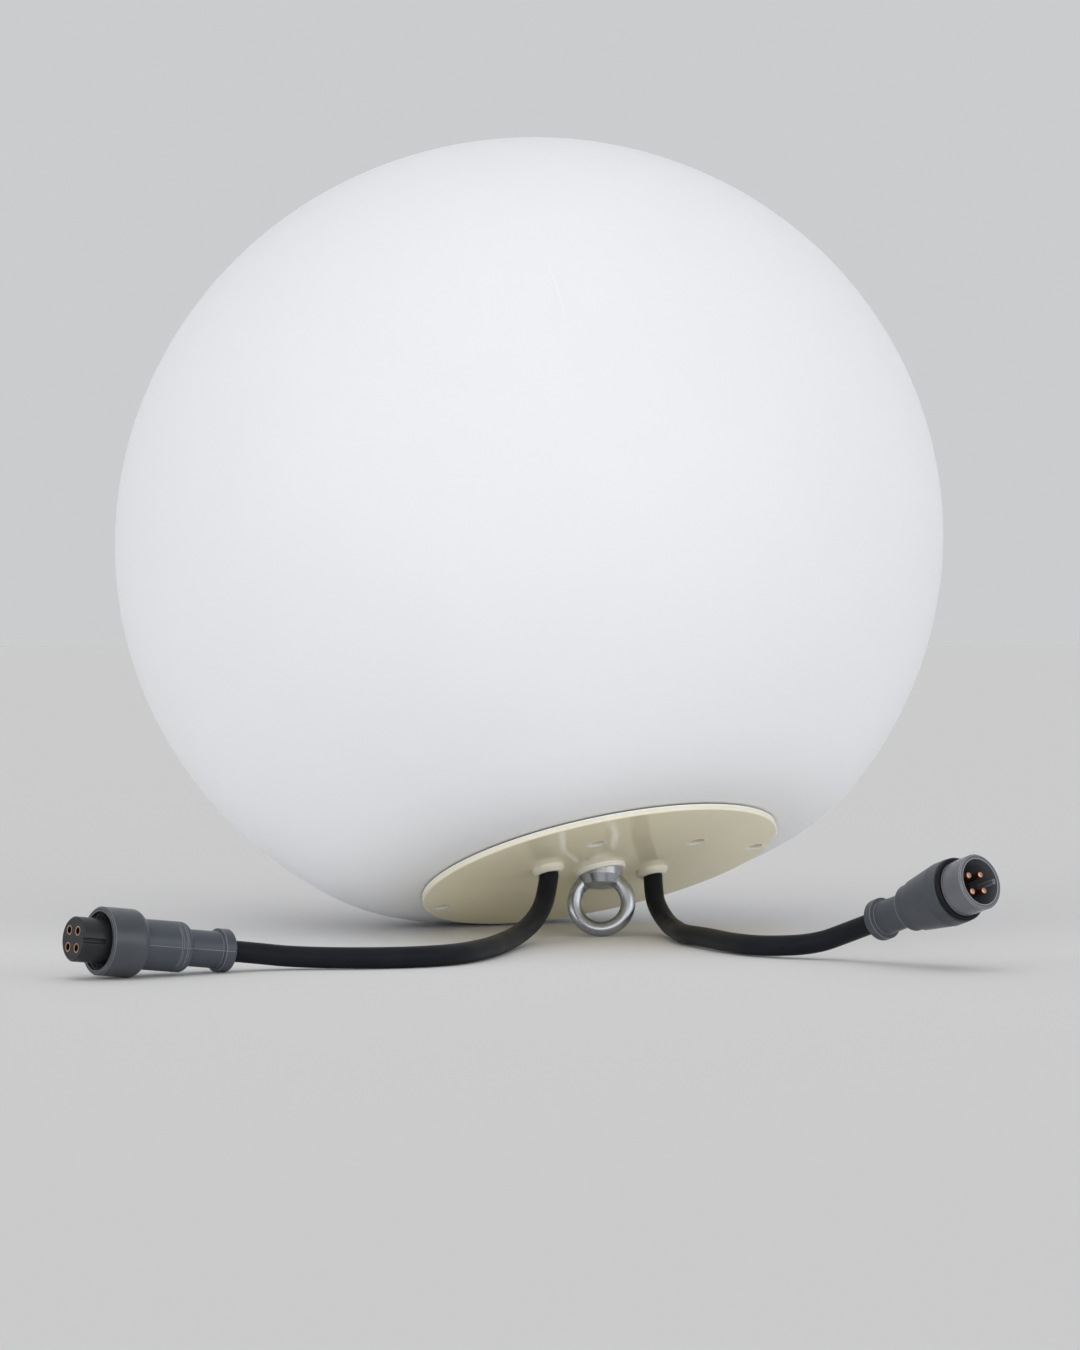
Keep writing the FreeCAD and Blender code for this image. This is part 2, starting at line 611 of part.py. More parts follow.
def led_column():
    h = COLUMN_HALF
    inner = h - COLUMN_T
    tube = block((-h, h), (-h, h), (COLUMN_END, FOOT_Z)).cut(
        block((-inner, inner), (-inner, inner), (COLUMN_END - 1, FOOT_Z + 1)))
    channels = [cylinder(CHANNEL_R, COLUMN_END, FOOT_Z, spot) for spot in SCREW_SPOTS]
    column = fused(tube, *channels)
    bores = [cylinder(CHANNEL_SCREW_R + FIT, COLUMN_END - 1, FOOT_Z + 1, spot) for spot in SCREW_SPOTS]
    return column.cut(group(bores))


def on_side(shape, side):
    return shape.rotated(ORIGIN, UP, 90.0 * side)


def led_heights():
    step = LED_BOARD_L / LEDS_PER_BOARD
    return [LED_BOARD_TOP - step * (i + 0.5) for i in range(LEDS_PER_BOARD)]


def led_board(side):
    board = block((COLUMN_HALF, COLUMN_HALF + BOARD_T), centred(LED_BOARD_W),
                  (LED_BOARD_TOP - LED_BOARD_L, LED_BOARD_TOP))
    return on_side(board, side)


def led_chips(side):
    x = COLUMN_HALF + BOARD_T
    chips = [block((x, x + LED_H), centred(LED_SIZE), centred(LED_SIZE, z)) for z in led_heights()]
    return on_side(group(chips), side)


def end_board():
    h = COLUMN_HALF
    board = block((-h, h), (-h, h), (COLUMN_END - BOARD_T, COLUMN_END))
    low, high = COLUMN_END - BOARD_T - 1, COLUMN_END + 1
    bores = [cylinder(CHANNEL_SCREW_R + LOOSE, low, high, spot) for spot in SCREW_SPOTS]
    return board.cut(group(bores))


def end_chips():
    low = COLUMN_END - BOARD_T - LED_H
    steps = [i * END_LED_AT for i in (-1, 0, 1)]
    return group([block(centred(LED_SIZE, -d), centred(LED_SIZE, d), (low, low + LED_H)) for d in steps])


def end_screws():
    screw = pan_screw(SMALL_HEAD_R, SMALL_HEAD_H, CHANNEL_SCREW_R, SMALL_SCREW_L)
    screw.rotate(ORIGIN, Vector(1, 0, 0), 180.0)
    return group([screw.translated(Vector(x, y, COLUMN_END - BOARD_T)) for x, y in SCREW_SPOTS])


# ---------------------------------------------------------------- driver board, on the foot plate's tab
def driver_back():
    return TAB_Y - SPACER_L


def driver_front():
    return driver_back() - BOARD_T


def along_y(radius, y_low, y_high, x, z):
    return Part.makeCylinder(radius, y_high - y_low, Vector(x, y_low, z), Vector(0, 1, 0))


def driver_board():
    board = block(centred(DRIVER_W), (driver_front(), driver_back()), (DRIVER_TOP - DRIVER_H, DRIVER_TOP))
    bores = [along_y(DRIVER_SCREW_R + LOOSE, driver_front() - 1, driver_back() + 1, x, z)
             for x, z in DRIVER_SPOTS]
    return board.cut(group(bores))


def driver_spacers():
    return group([along_y(SPACER_R, driver_back(), TAB_Y, x, z).cut(
        along_y(SPACER_BORE_R, driver_back() - 1, TAB_Y + 1, x, z)) for x, z in DRIVER_SPOTS])


def driver_screws():
    screw = pan_screw(SMALL_HEAD_R, SMALL_HEAD_H, DRIVER_SCREW_R, SPACER_L + BOARD_T + FOOT_T)
    screw.rotate(ORIGIN, Vector(1, 0, 0), 90.0)
    return group([screw.translated(Vector(x, driver_front(), z)) for x, z in DRIVER_SPOTS])


def driver_chip():
    width, thick, height = CHIP
    chip = block(centred(width, CHIP_X), (driver_front() - thick, driver_front()),
                 centred(height, DRIVER_TOP - PARTS_DROP))
    front = [e for e in chip.Edges if e.BoundBox.YMax < driver_front() - thick + FIT]
    return chip.makeChamfer(CHIP_CHAMFER, front)


def capacitor():
    front = driver_front() - CAPACITOR_L
    can = along_y(CAPACITOR_R, front, driver_front(), CAPACITOR_X, DRIVER_TOP - PARTS_DROP)
    return can.makeFillet(CAPACITOR_ROUND, [e for e in can.Edges if e.BoundBox.YMax < front + FIT])


def terminal_top():
    return DRIVER_TOP - TERMINAL_DROP


def terminal_block():
    width, depth, height = TERMINAL
    top = terminal_top()
    front = driver_front() - depth
    body = block(centred(width), (front, driver_front()), (top - height, top))
    spots = core_spots("left") + core_spots("right")
    wells = [cylinder(CORE_R + FIT, top - CORE_IN_BLOCK, top + 1, (x, front + depth / 2)) for x in spots]
    screws = [along_y(TERMINAL_SCREW_R, front - 1, front + TERMINAL_SCREW_D, x, top - height / 2)
              for x in spots]
    return body.cut(group(wells + screws))


def column_leads():
    """Three leads from the driver board's lower edge to the nearest LED board."""
    end_y = -COLUMN_HALF - BOARD_T - LEAD_R
    tubes = []
    for i in (-1, 0, 1):
        x = LEAD_PITCH * i
        start = Vector(x, driver_back() + LEAD_R, DRIVER_TOP - DRIVER_H + LEAD_INSET)
        tubes.append(cable([start, start + Vector(0, 2 * LEAD_R, -LEAD_DROP),
                            Vector(x, end_y - 2 * LEAD_R, LED_BOARD_TOP + 2 * LEAD_R),
                            Vector(x, end_y, LED_BOARD_TOP - LEAD_ON_BOARD)], LEAD_R))
    return group(tubes)


# ---------------------------------------------------------------- socket connector
def nut_low():
    return SOCKET_BODY_Z[1] + NUT_PLAY


def retainer_low():
    return nut_low() + NUT_LIP_T + NUT_PLAY


def socket_body():
    back, front = SOCKET_BODY_Z
    shaft_r = NUT_LIP_BORE_R - LOOSE
    outline = [(0, 0), (SOCKET_FLANGE_R, 0), (SOCKET_FLANGE_R, SOCKET_FLANGE_L),
               (SOCKET_NECK_R, SOCKET_FLANGE_L + FLANGE_TAPER), (SOCKET_NECK_R, back), (SOCKET_BODY_R, back)]
    for offset in SOCKET_LINES:
        groove = back + offset
        outline += [(SOCKET_BODY_R, groove), (SOCKET_BODY_R - GROOVE, groove + GROOVE),
                    (SOCKET_BODY_R, groove + 2 * GROOVE)]
    outline += [(SOCKET_BODY_R, front), (shaft_r, front), (shaft_r, retainer_low()),
                (RETAINER_R, retainer_low()), (RETAINER_R, retainer_low() + RETAINER_L),
                (0, retainer_low() + RETAINER_L)]
    body = rounded(turned(outline), SOCKET_FLANGE_R, 0, FLANGE_ROUND)
    return rounded(body, SOCKET_BODY_R, back, SOCKET_BACK_ROUND)


def coupling_nut():
    low = nut_low()
    high = low + NUT_L
    step = low + NUT_LIP_T
    nut = turned([(NUT_LIP_BORE_R, low), (NUT_R, low), (NUT_R, high), (NUT_THREAD_R, high),
                  (NUT_THREAD_R, step), (NUT_LIP_BORE_R, step)])
    nut = rounded(nut, NUT_R, low, NUT_SHOULDER_ROUND)
    return chamfered(nut, NUT_R, high, NUT_MOUTH_CHAMFER)


def socket_carrier():
    low = retainer_low() + RETAINER_L
    body = chamfered(cylinder(CARRIER_R, low, SOCKET_L), CARRIER_R, SOCKET_L, CARRIER_CHAMFER)
    wells = [cylinder(CONTACT_R + FIT, SOCKET_L - CONTACT_DEPTH, SOCKET_L + 1, spot) for spot in PIN_SPOTS]
    key = cylinder(KEY_R, SOCKET_L - KEY_L - KEY_BACK, SOCKET_L + 1, (0, CARRIER_R))
    return body.cut(group(wells + [key]))


def socket_contacts():
    low = SOCKET_L - CONTACT_DEPTH
    contact = cylinder(CONTACT_R, low, SOCKET_L).cut(
        cylinder(CONTACT_BORE_R, low + CONTACT_FLOOR, SOCKET_L + 1))
    return group([contact.translated(Vector(x, y, 0)) for x, y in PIN_SPOTS])


def socket_seal():
    low = retainer_low() + RETAINER_L
    return sleeve(NUT_THREAD_R - LOOSE, CARRIER_R + FIT, low, low + SEAL_T)


# ---------------------------------------------------------------- plug connector
def plug_body():
    back, front = PLUG_BODY_Z
    step_r = PLUG_BACK_R - PLUG_STEP_IN
    outline = [(0, 0), (PLUG_FLANGE_R, 0), (PLUG_FLANGE_R, PLUG_FLANGE_L),
               (PLUG_NECK_R, PLUG_FLANGE_L + FLANGE_TAPER),
               (PLUG_NECK_R, back - PLUG_STEP), (step_r, back - PLUG_STEP), (step_r, back),
               (PLUG_BACK_R, back), (PLUG_COLLAR_R, front - PLUG_COLLAR_L), (PLUG_COLLAR_R, front),
               (0, front)]
    body = rounded(turned(outline), PLUG_FLANGE_R, 0, FLANGE_ROUND)
    body = rounded(body, PLUG_BACK_R, back, PLUG_BACK_ROUND)
    body = rounded(body, PLUG_COLLAR_R, front, PLUG_COLLAR_ROUND)
    return body.cut(cylinder(BARREL_ROOT_R + FIT, front - BARREL_ROOT, front + 1))


def plug_barrel():
    front = PLUG_BODY_Z[1]
    root = front - BARREL_ROOT
    shoulder_z = front + 2 * O_RING_R
    mouth = front + BARREL_L
    barrel = turned([(BARREL_BORE_R, root), (BARREL_ROOT_R, root), (BARREL_ROOT_R, shoulder_z),
                     (BARREL_R, shoulder_z), (BARREL_R, mouth), (BARREL_BORE_R, mouth)])
    barrel = chamfered(barrel, BARREL_R, mouth, BARREL_CHAMFER)
    key = block(centred(KEY_W), (BARREL_BORE_R - KEY_H, BARREL_BORE_R + FIT),
                (mouth - KEY_L - KEY_BACK, mouth - KEY_BACK))
    return fused(barrel, key)


def insert_face():
    return PLUG_BODY_Z[1] + INSERT_STAND


def pin_root():
    return insert_face() - PIN_SUNK


def pin_tip():
    return PLUG_BODY_Z[1] + BARREL_L - PIN_BACK


def plug_insert():
    root = PLUG_BODY_Z[1] - BARREL_ROOT
    face = insert_face()
    wells = [cylinder(PIN_R + FIT, pin_root(), face + 1, spot) for spot in PIN_SPOTS]
    return cylinder(BARREL_BORE_R - FIT, root, face).cut(group(wells))


def plug_pins():
    pin = rounded(cylinder(PIN_R, pin_root(), pin_tip()), PIN_R, pin_tip(), PIN_ROUND)
    return group([pin.translated(Vector(x, y, 0)) for x, y in PIN_SPOTS])


def plug_o_ring():
    return Part.makeTorus(BARREL_ROOT_R + O_RING_R, O_RING_R, Vector(0, 0, PLUG_BODY_Z[1] + O_RING_R), UP)


# ---------------------------------------------------------------- laying it all down
def rest_tilt():
    """The tilt at which the shoulder and the eye's ring both touch the ground."""
    (cr, cz), _ = shoulder(GLOBE_R, POLE_R, SEAT_Z, SHOULDER_R)
    low, high = 0.0, math.pi / 3
    while high - low > 1e-12:
        tilt = (low + high) / 2
        if cr * math.sin(tilt) + cz * math.cos(tilt) + SHOULDER_R > eye_reach(tilt):
            high = tilt
        else:
            low = tilt
    return tilt


def eye_reach(tilt):
    """How far the ring reaches below the globe's centre."""
    down = Vector(0, -math.sin(tilt), math.cos(tilt))
    axis, hole = eye_axes()
    centre = Vector(0, 0, FACE_Z) + axis * EYE_CENTRE_H
    return centre.dot(down) + EYE_RING_R * math.sqrt(1 - hole.dot(down) ** 2) + EYE_WIRE_R


TILT = rest_tilt()
CENTRE_H = eye_reach(TILT)
LAMP_PLACE = Placement(Vector(0, 0, CENTRE_H), Rotation(Vector(1, 0, 0), 180.0 - math.degrees(TILT)))


def socket_rise():
    """The rise at which the nut's rear shoulder and the end flange's edge both lie on the ground."""
    gap = nut_low() + NUT_SHOULDER_ROUND - FLANGE_ROUND
    step = (NUT_R - NUT_SHOULDER_ROUND) - (SOCKET_FLANGE_R - FLANGE_ROUND)
    return math.atan2(step, gap) + math.asin((NUT_SHOULDER_ROUND - FLANGE_ROUND) / math.hypot(step, gap))


def connector_place(end, height, heading, rise):
    """Turns a connector's z to its heading and rise, with its rear end at the cable's end."""
    turn = Rotation(UP, heading).multiply(Rotation(Vector(0, 1, 0), 90.0 - rise))
    return Placement(Vector(end[0], end[1], height), turn)


def laid_cable(side, route, connector, last_run):
    """The cable from the grommet's dome, trimmed flat there, to the connector's rear face."""
    x, y = GROMMET_SPOTS[side]
    dome = FACE_Z + GROMMET_DOME
    leaving = LAMP_PLACE.multVec(Vector(x, y, dome))
    first = Vector(*route[0])
    back = leaving - first
    back.normalize()
    points = [leaving + back * TRIM] + [Vector(*p) for p in route]
    points += [connector.multVec(Vector(0, 0, -last_run)), connector.multVec(ORIGIN)]
    inside = cylinder(4 * CABLE_R, dome - 4 * TRIM, dome, (x, y))
    inside.Placement = LAMP_PLACE.multiply(inside.Placement)
    return cable(points, CABLE_R).cut(inside)


def main():
    lamp = {"globe_shell": globe_shell(), "mouth_gasket": mouth_gasket(), "base_plate": base_plate(),
            "rim_screws": rim_screws(), "rim_inserts": rim_inserts(), "frame_screws": frame_screws(),
            "eye_bolt": eye_bolt(), "eye_washer": eye_washer(), "spring_washer": spring_washer(),
            "eye_nut": eye_nut(), "foot_plate": foot_plate(), "foot_screws": foot_screws(),
            "led_column": led_column(), "end_board": end_board(), "end_chips": end_chips(),
            "end_screws": end_screws(), "driver_board": driver_board(), "driver_spacers": driver_spacers(),
            "driver_screws": driver_screws(), "driver_chip": driver_chip(), "capacitor": capacitor(),
            "terminal_block": terminal_block(), "column_leads": column_leads()}
    for side in ("left", "right"):
        lamp[side + "_grommet"] = grommet(side)
        lamp[side + "_inner_cable"] = inner_cable(side)
        lamp[side + "_stop_tie"] = stop_tie(side)
        lamp[side + "_cores"] = cores(side)
    for side in range(4):
        lamp["led_board_%d" % (side + 1)] = led_board(side)
        lamp["led_chips_%d" % (side + 1)] = led_chips(side)
    socket = {"socket_body": socket_body(), "socket_carrier": socket_carrier(),
              "coupling_nut": coupling_nut(), "socket_contacts": socket_contacts(),
              "socket_seal": socket_seal()}
    plug = {"plug_body": plug_body(), "plug_barrel": plug_barrel(), "plug_insert": plug_insert(),
            "plug_pins": plug_pins(), "plug_o_ring": plug_o_ring()}
    rise = socket_rise()
    edge_r = SOCKET_FLANGE_R - FLANGE_ROUND
    socket_h = FLANGE_ROUND + edge_r * math.cos(rise) - FLANGE_ROUND * math.sin(rise)
    socket_place = connector_place(LEFT_END, socket_h, LEFT_HEADING, math.degrees(rise))
    plug_place = connector_place(RIGHT_END, RIGHT_END_H, RIGHT_HEADING, RIGHT_RISE)
    placed = [(lamp, LAMP_PLACE), (socket, socket_place), (plug, plug_place)]
    cables = {"left_cable": laid_cable("left", LEFT_ROUTE, socket_place, LEFT_LAST_RUN),
              "right_cable": laid_cable("right", RIGHT_ROUTE, plug_place, RIGHT_LAST_RUN)}
    os.makedirs("parts", exist_ok=True)
    for shapes, place in placed + [(cables, Placement())]:
        for name, shape in shapes.items():
            shape.Placement = place.multiply(shape.Placement)
            if not shape.isValid():
                print("not valid:", name)
            shape.exportStep("parts/%s.step" % name)
    print("tilt %.3f deg, centre height %.3f, socket rise %.2f deg at %.2f" % (
        math.degrees(TILT), CENTRE_H, math.degrees(rise), socket_h))
    for name, place in (("lamp", LAMP_PLACE), ("socket", socket_place), ("plug", plug_place)):
        print(name, "origin", place.Base, "z axis", place.Rotation.multVec(UP))


main()
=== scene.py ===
# %% [markdown]
# # A garden globe light, laid on its hanging eye
#
# The lamp is an opal ball closed by an ivory cover plate. A steel eye stands in the middle of the plate, and
# two black cables leave it through silicone grommets: one ends in a socket with a loose coupling nut, the
# other in the plug that fits such a socket.
#
# The hard parts come ready-made from a solid model, at their real size and place. This file gives them their
# finish, lays the cables, adds the fine detail that a solid model leaves out, and sets up the studio.
# Everything is in metres: Z is up, the ground is at Z = 0, and the globe's centre stands above the origin.

# %% Load the solid model
import json
import math

import bmesh
import bpy
from mathutils import Matrix, Vector

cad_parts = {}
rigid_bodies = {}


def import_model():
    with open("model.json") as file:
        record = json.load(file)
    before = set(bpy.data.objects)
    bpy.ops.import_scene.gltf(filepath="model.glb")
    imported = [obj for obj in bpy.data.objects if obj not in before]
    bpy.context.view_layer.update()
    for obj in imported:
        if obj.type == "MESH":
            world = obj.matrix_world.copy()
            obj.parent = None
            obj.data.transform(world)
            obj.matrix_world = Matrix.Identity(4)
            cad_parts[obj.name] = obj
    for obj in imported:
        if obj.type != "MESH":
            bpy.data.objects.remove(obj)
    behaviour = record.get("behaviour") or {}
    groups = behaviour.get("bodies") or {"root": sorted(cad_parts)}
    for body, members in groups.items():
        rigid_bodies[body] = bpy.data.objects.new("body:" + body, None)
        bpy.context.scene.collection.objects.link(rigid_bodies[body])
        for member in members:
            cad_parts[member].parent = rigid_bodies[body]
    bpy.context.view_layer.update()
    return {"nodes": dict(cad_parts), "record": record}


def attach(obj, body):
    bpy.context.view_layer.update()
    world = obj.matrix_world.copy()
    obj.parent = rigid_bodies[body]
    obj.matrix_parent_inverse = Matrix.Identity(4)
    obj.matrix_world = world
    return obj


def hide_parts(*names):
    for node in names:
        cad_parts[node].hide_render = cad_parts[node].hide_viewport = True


MM = 0.001
MICRON = 0.000001
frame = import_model()
nodes = frame["nodes"]
mounts = {mount["name"]: mount for mount in frame["record"]["mounts"]}
print("pieces from the solid model:", len(nodes))

# %% [markdown]
# ## Where things are
#
# Three places are used again and again: the lamp's own middle, the plug and the socket. The model states the
# plug's and the socket's as a point and a direction, so neither has to be measured again. They could be typed
# in as angles, but a direction is easier to check. From it we make a matrix whose Z runs along it: a shape
# drawn round its own Z axis then drops straight into place.

# %% Axes of the lamp, the socket and the plug
UP = Vector((0, 0, 1))
ACROSS = Vector((1, 0, 0))
GLOBE_CENTRE = Vector((0, 0, 140.319 * MM))
LAMP_TILT = math.radians(21.028)       # how far the lamp leans back from standing on its plate
PLUG_MOUNT_Z = 43.05 * MM              # how far the plug's mount lies from its rear end face
SOCKET_MOUNT_Z = 46.5 * MM


def along(origin, z_axis, x_hint):
    """A matrix that puts a shape's own Z along z_axis and its X as near x_hint as it can be."""
    z = z_axis.normalized()
    x = (x_hint - z * x_hint.dot(z)).normalized()
    y = z.cross(x)
    turned = Matrix((x, y, z)).transposed().to_4x4()
    return Matrix.Translation(origin) @ turned


def rear_end(mount, distance):
    """The frame of a connector at its rear end face, with its Z towards the mouth."""
    axis = Vector(mounts[mount]["axis"]).normalized()
    return along(Vector(mounts[mount]["pos_m"]) - axis * distance, axis, axis.cross(UP))


lamp_frame = along(GLOBE_CENTRE, Vector((0, -math.sin(LAMP_TILT), -math.cos(LAMP_TILT))), ACROSS)
plug_frame = rear_end("plug_barrel", PLUG_MOUNT_Z)
socket_frame = rear_end("socket_mouth", SOCKET_MOUNT_Z)
print("rear ends of the socket and the plug, in mm:",
      [[round(c / MM, 1) for c in place.to_translation()] for place in (socket_frame, plug_frame)])

# %% [markdown]
# ## Camera
#
# The picture was taken from a little under the globe's middle, with a long lens: the ball's outline is almost
# a true circle, and the plate is a thin ellipse. A lens of 110 mm at one and a half metres gives both. A lens
# shift could move the ball to its place in the picture. Here the camera is aimed a little aside instead, as a
# photographer would do, so that the globe's centre falls on its own pixel.

# %% Place the camera
CAMERA_DISTANCE = 1.5
CAMERA_BEARING = math.radians(34.2)    # round from straight in front, towards the socket
CAMERA_BELOW = math.radians(1.3)
LENS = 110.0
SENSOR = 36.0
NEAREST_SEEN = 0.05
PICTURE_SIZE = (1080, 1350)
CENTRE_PIXEL = (529.3, 542.0)
FOCAL = LENS / SENSOR * PICTURE_SIZE[1]     # the lens's length, counted in pixels


def heading(bearing, rise):
    """A direction from its compass bearing and its rise above the level."""
    level = Vector((math.sin(bearing), math.cos(bearing), 0)) * math.cos(rise)
    return level + UP * math.sin(rise)


def off_centre(pixel):
    """How far a pixel lies right of the picture's middle and below it, as shares of the focal length."""
    return [(place - size / 2) / FOCAL for place, size in zip(pixel, PICTURE_SIZE)]


def link(obj):
    bpy.context.scene.collection.objects.link(obj)
    return obj


def make_camera():
    right, down = off_centre(CENTRE_PIXEL)
    forward = heading(CAMERA_BEARING - math.atan(right), CAMERA_BELOW + math.atan(down))
    data = bpy.data.cameras.new("camera")
    data.lens = LENS
    data.sensor_width = SENSOR
    data.clip_start = NEAREST_SEEN
    made = link(bpy.data.objects.new("camera", data))
    made.location = GLOBE_CENTRE - heading(CAMERA_BEARING, CAMERA_BELOW) * CAMERA_DISTANCE
    made.rotation_mode = "QUATERNION"
    made.rotation_quaternion = forward.to_track_quat("-Z", "Y")
    bpy.context.scene.camera = made
    return made


camera = make_camera()
print("camera at", [round(c, 3) for c in camera.location])

# %% [markdown]
# ## Floor
#
# The lamp lies on a pale ground. A sheet that curves up behind the lamp would do, but its bend shows from the
# side, so this is a very wide flat disc that runs out of sight in every direction. It is stage, not lamp.
#
# A white ball gets much of its light from the ground under it. The Light Path node tells what kind of ray has
# hit the floor, so it can look light grey to the camera, and in mirror images and through glass, and still
# throw light back as white paper does.

# %% Make the floor
FLOOR_RADIUS = 40.0
FLOOR_SIDES = 96
FLOOR_COLOUR = (0.700, 0.698, 0.693)
FLOOR_BOUNCE = (0.95, 0.94, 0.93)
FLOOR_ROUGHNESS = 0.85
FLOOR_SPECULAR = 0.2


def material(name):
    """A new material with its node tree and its surface shader."""
    made = bpy.data.materials.new(name)
    made.use_nodes = True
    return made, made.node_tree, made.node_tree.nodes["Principled BSDF"]


def operate(tree, kind, operation, first, second):
    """A math node on two outputs."""
    made = tree.nodes.new(kind)
    made.operation = operation
    tree.links.new(first, made.inputs[0])
    tree.links.new(second, made.inputs[1])
    return made.outputs["Value"]


def blend(tree, factor, first, second):
    """Two colours mixed by a factor; either may be a colour or another node's output."""
    mix = tree.nodes.new("ShaderNodeMix")
    mix.data_type = "RGBA"
    for socket, colour in (("A", first), ("B", second)):
        if isinstance(colour, tuple):
            mix.inputs[socket].default_value = (*colour, 1)
        else:
            tree.links.new(colour, mix.inputs[socket])
    tree.links.new(factor, mix.inputs["Factor"])
    return mix.outputs["Result"]


def seen_or_lit(tree, seen, lit):
    """One colour for what is seen, straight or mirrored, and another for the light that is thrown back."""
    path = tree.nodes.new("ShaderNodeLightPath").outputs
    looked_at = path["Is Camera Ray"]
    for kind in ("Is Glossy Ray", "Is Transmission Ray"):
        looked_at = operate(tree, "ShaderNodeMath", "MAXIMUM", looked_at, path[kind])
    return blend(tree, looked_at, lit, seen)


def finished_mesh(name, shape, *finishes):
    """Turns a bmesh into an object with its finishes."""
    mesh = bpy.data.meshes.new(name)
    shape.to_mesh(mesh)
    shape.free()
    for finish in finishes:
        mesh.materials.append(finish)
    return link(bpy.data.objects.new(name, mesh))


def make_floor():
    paper, tree, shader = material("floor_paper")
    shader.inputs["Roughness"].default_value = FLOOR_ROUGHNESS
    shader.inputs["Specular IOR Level"].default_value = FLOOR_SPECULAR
    tree.links.new(seen_or_lit(tree, FLOOR_COLOUR, FLOOR_BOUNCE), shader.inputs["Base Color"])
    shape = bmesh.new()
    bmesh.ops.create_circle(shape, cap_ends=True, radius=FLOOR_RADIUS, segments=FLOOR_SIDES)
    finished_mesh("floor", shape, paper)


make_floor()
print("floor:", 2 * FLOOR_RADIUS, "m across")

# %% [markdown]
# ## Room
#
# The room around the lamp gives the soft part of the light, and its walls are the backdrop. One even colour
# would do for the ball. But black and polished things show what is in front of them, and a bright room behind
# the camera turns them grey, so the room grows dimmer from ahead of the camera to behind it.

# %% Make the room
ROOM_BRIGHT = (0.60, 0.605, 0.615)
ROOM_DIM = (0.32, 0.325, 0.335)
ROOM_DIM_UNTIL = -0.7                  # 1 is straight ahead of the camera and -1 straight behind it
ROOM_BRIGHT_FROM = 0.6
AHEAD = heading(CAMERA_BEARING, 0)


def make_room():
    world = bpy.data.worlds.new("room")
    world.use_nodes = True
    tree = world.node_tree
    where = tree.nodes.new("ShaderNodeTexCoord")
    forwardness = tree.nodes.new("ShaderNodeVectorMath")
    forwardness.operation = "DOT_PRODUCT"
    forwardness.inputs[1].default_value = AHEAD
    tree.links.new(where.outputs["Generated"], forwardness.inputs[0])
    ramp = tree.nodes.new("ShaderNodeMapRange")
    ramp.interpolation_type = "SMOOTHSTEP"
    ramp.inputs["From Min"].default_value = ROOM_DIM_UNTIL
    ramp.inputs["From Max"].default_value = ROOM_BRIGHT_FROM
    tree.links.new(forwardness.outputs["Value"], ramp.inputs["Value"])
    walls = blend(tree, ramp.outputs["Result"], ROOM_DIM, ROOM_BRIGHT)
    tree.links.new(walls, tree.nodes["Background"].inputs["Color"])
    bpy.context.scene.world = world


make_room()
print("room: green is", ROOM_BRIGHT[1], "ahead and", ROOM_DIM[1], "behind")

# %% [markdown]
# ## Lamps
#
# A white ball only looks white and even when light reaches it from nearly all sides, so four lamps help the
# room: one far to each side of the camera, one beside it and one high up. Large panels would do, but they
# leave a bright pool on the floor. Lamps that shine in parallel, as the sun does, light the far floor as
# strongly as the near one, so the floor runs into the backdrop without an edge. Each of them is as wide in
# the sky as a big panel close by, which keeps the shadows soft.

# %% Make the lamps
ASIDE = Vector((AHEAD.y, -AHEAD.x, 0))
LAMP_DISTANCE = 2.0                    # where its symbol stands; the light comes from far away in any case
# name, degrees round from the camera to the right, degrees up, width in degrees, strength, colour
LAMPS = [
    ("left_lamp", -52.0, 7.0, 55.0, 0.90, (1.0, 0.995, 0.985)),
    ("right_lamp", 55.0, 5.0, 55.0, 1.05, (0.985, 0.99, 1.0)),
    ("front_lamp", 5.0, 2.0, 50.0, 0.85, (1.0, 1.0, 1.0)),
    ("top_lamp", -10.0, 70.0, 70.0, 0.82, (1.0, 1.0, 1.0)),
]


def make_lamp(name, round_right, up, width, strength, colour):
    bearing, rise = math.radians(round_right), math.radians(up)
    level = -AHEAD * math.cos(bearing) + ASIDE * math.sin(bearing)
    source = level * math.cos(rise) + UP * math.sin(rise)
    data = bpy.data.lights.new(name, "SUN")
    data.energy = strength
    data.angle = math.radians(width)
    data.color = colour
    lamp = link(bpy.data.objects.new(name, data))
    lamp.location = GLOBE_CENTRE + source * LAMP_DISTANCE
    lamp.rotation_mode = "QUATERNION"
    lamp.rotation_quaternion = (-source).to_track_quat("-Z", "Y")


for lamp_facts in LAMPS:
    make_lamp(*lamp_facts)
bpy.context.scene.view_settings.view_transform = "Standard"
print("lamps:", [name for name, *_ in LAMPS])

# %% [markdown]
# ## Cables
#
# Each cable is short and stiff: it bends down from its grommet, lies on the ground for a while and rises a
# little into its connector. A rope simulation could lay it, but its rest is known from the picture. So it is
# a curve that is pulled towards its control points and that starts and ends exactly on the first and the
# last, which bends the way such a jacket does. The points follow the solid model's plain tubes within a few
# millimetres, and they are spread evenly, so that no crease shows.
#
# The curve is turned into a mesh at once. A curve object would do for a picture, but a mesh keeps its true
# size wherever it is measured.

# %% How to make a tube
TUBE_ROUNDNESS = 7                     # a tube gets four sides and twice this many more
QUAD = 4


def tube_along(curve, radius):
    """Turns a curve into a round smooth-shaded tube; also gives the points of the line that it follows."""
    guide = bpy.data.objects.new("guide", curve)
    line = bpy.data.meshes.new_from_object(guide)
    path = [tuple(v.co) for v in line.vertices]
    curve.bevel_depth = radius
    curve.bevel_resolution = TUBE_ROUNDNESS
    curve.use_fill_caps = True
    mesh = bpy.data.meshes.new_from_object(guide)
    mesh.materials.clear()
    mesh.name = curve.name
    for face in mesh.polygons:
        face.use_smooth = len(face.vertices) == QUAD     # the flat ends are filled with triangles
    for unused in (guide, line):
        bpy.data.batch_remove([unused])
    return link(bpy.data.objects.new(curve.name, mesh)), path


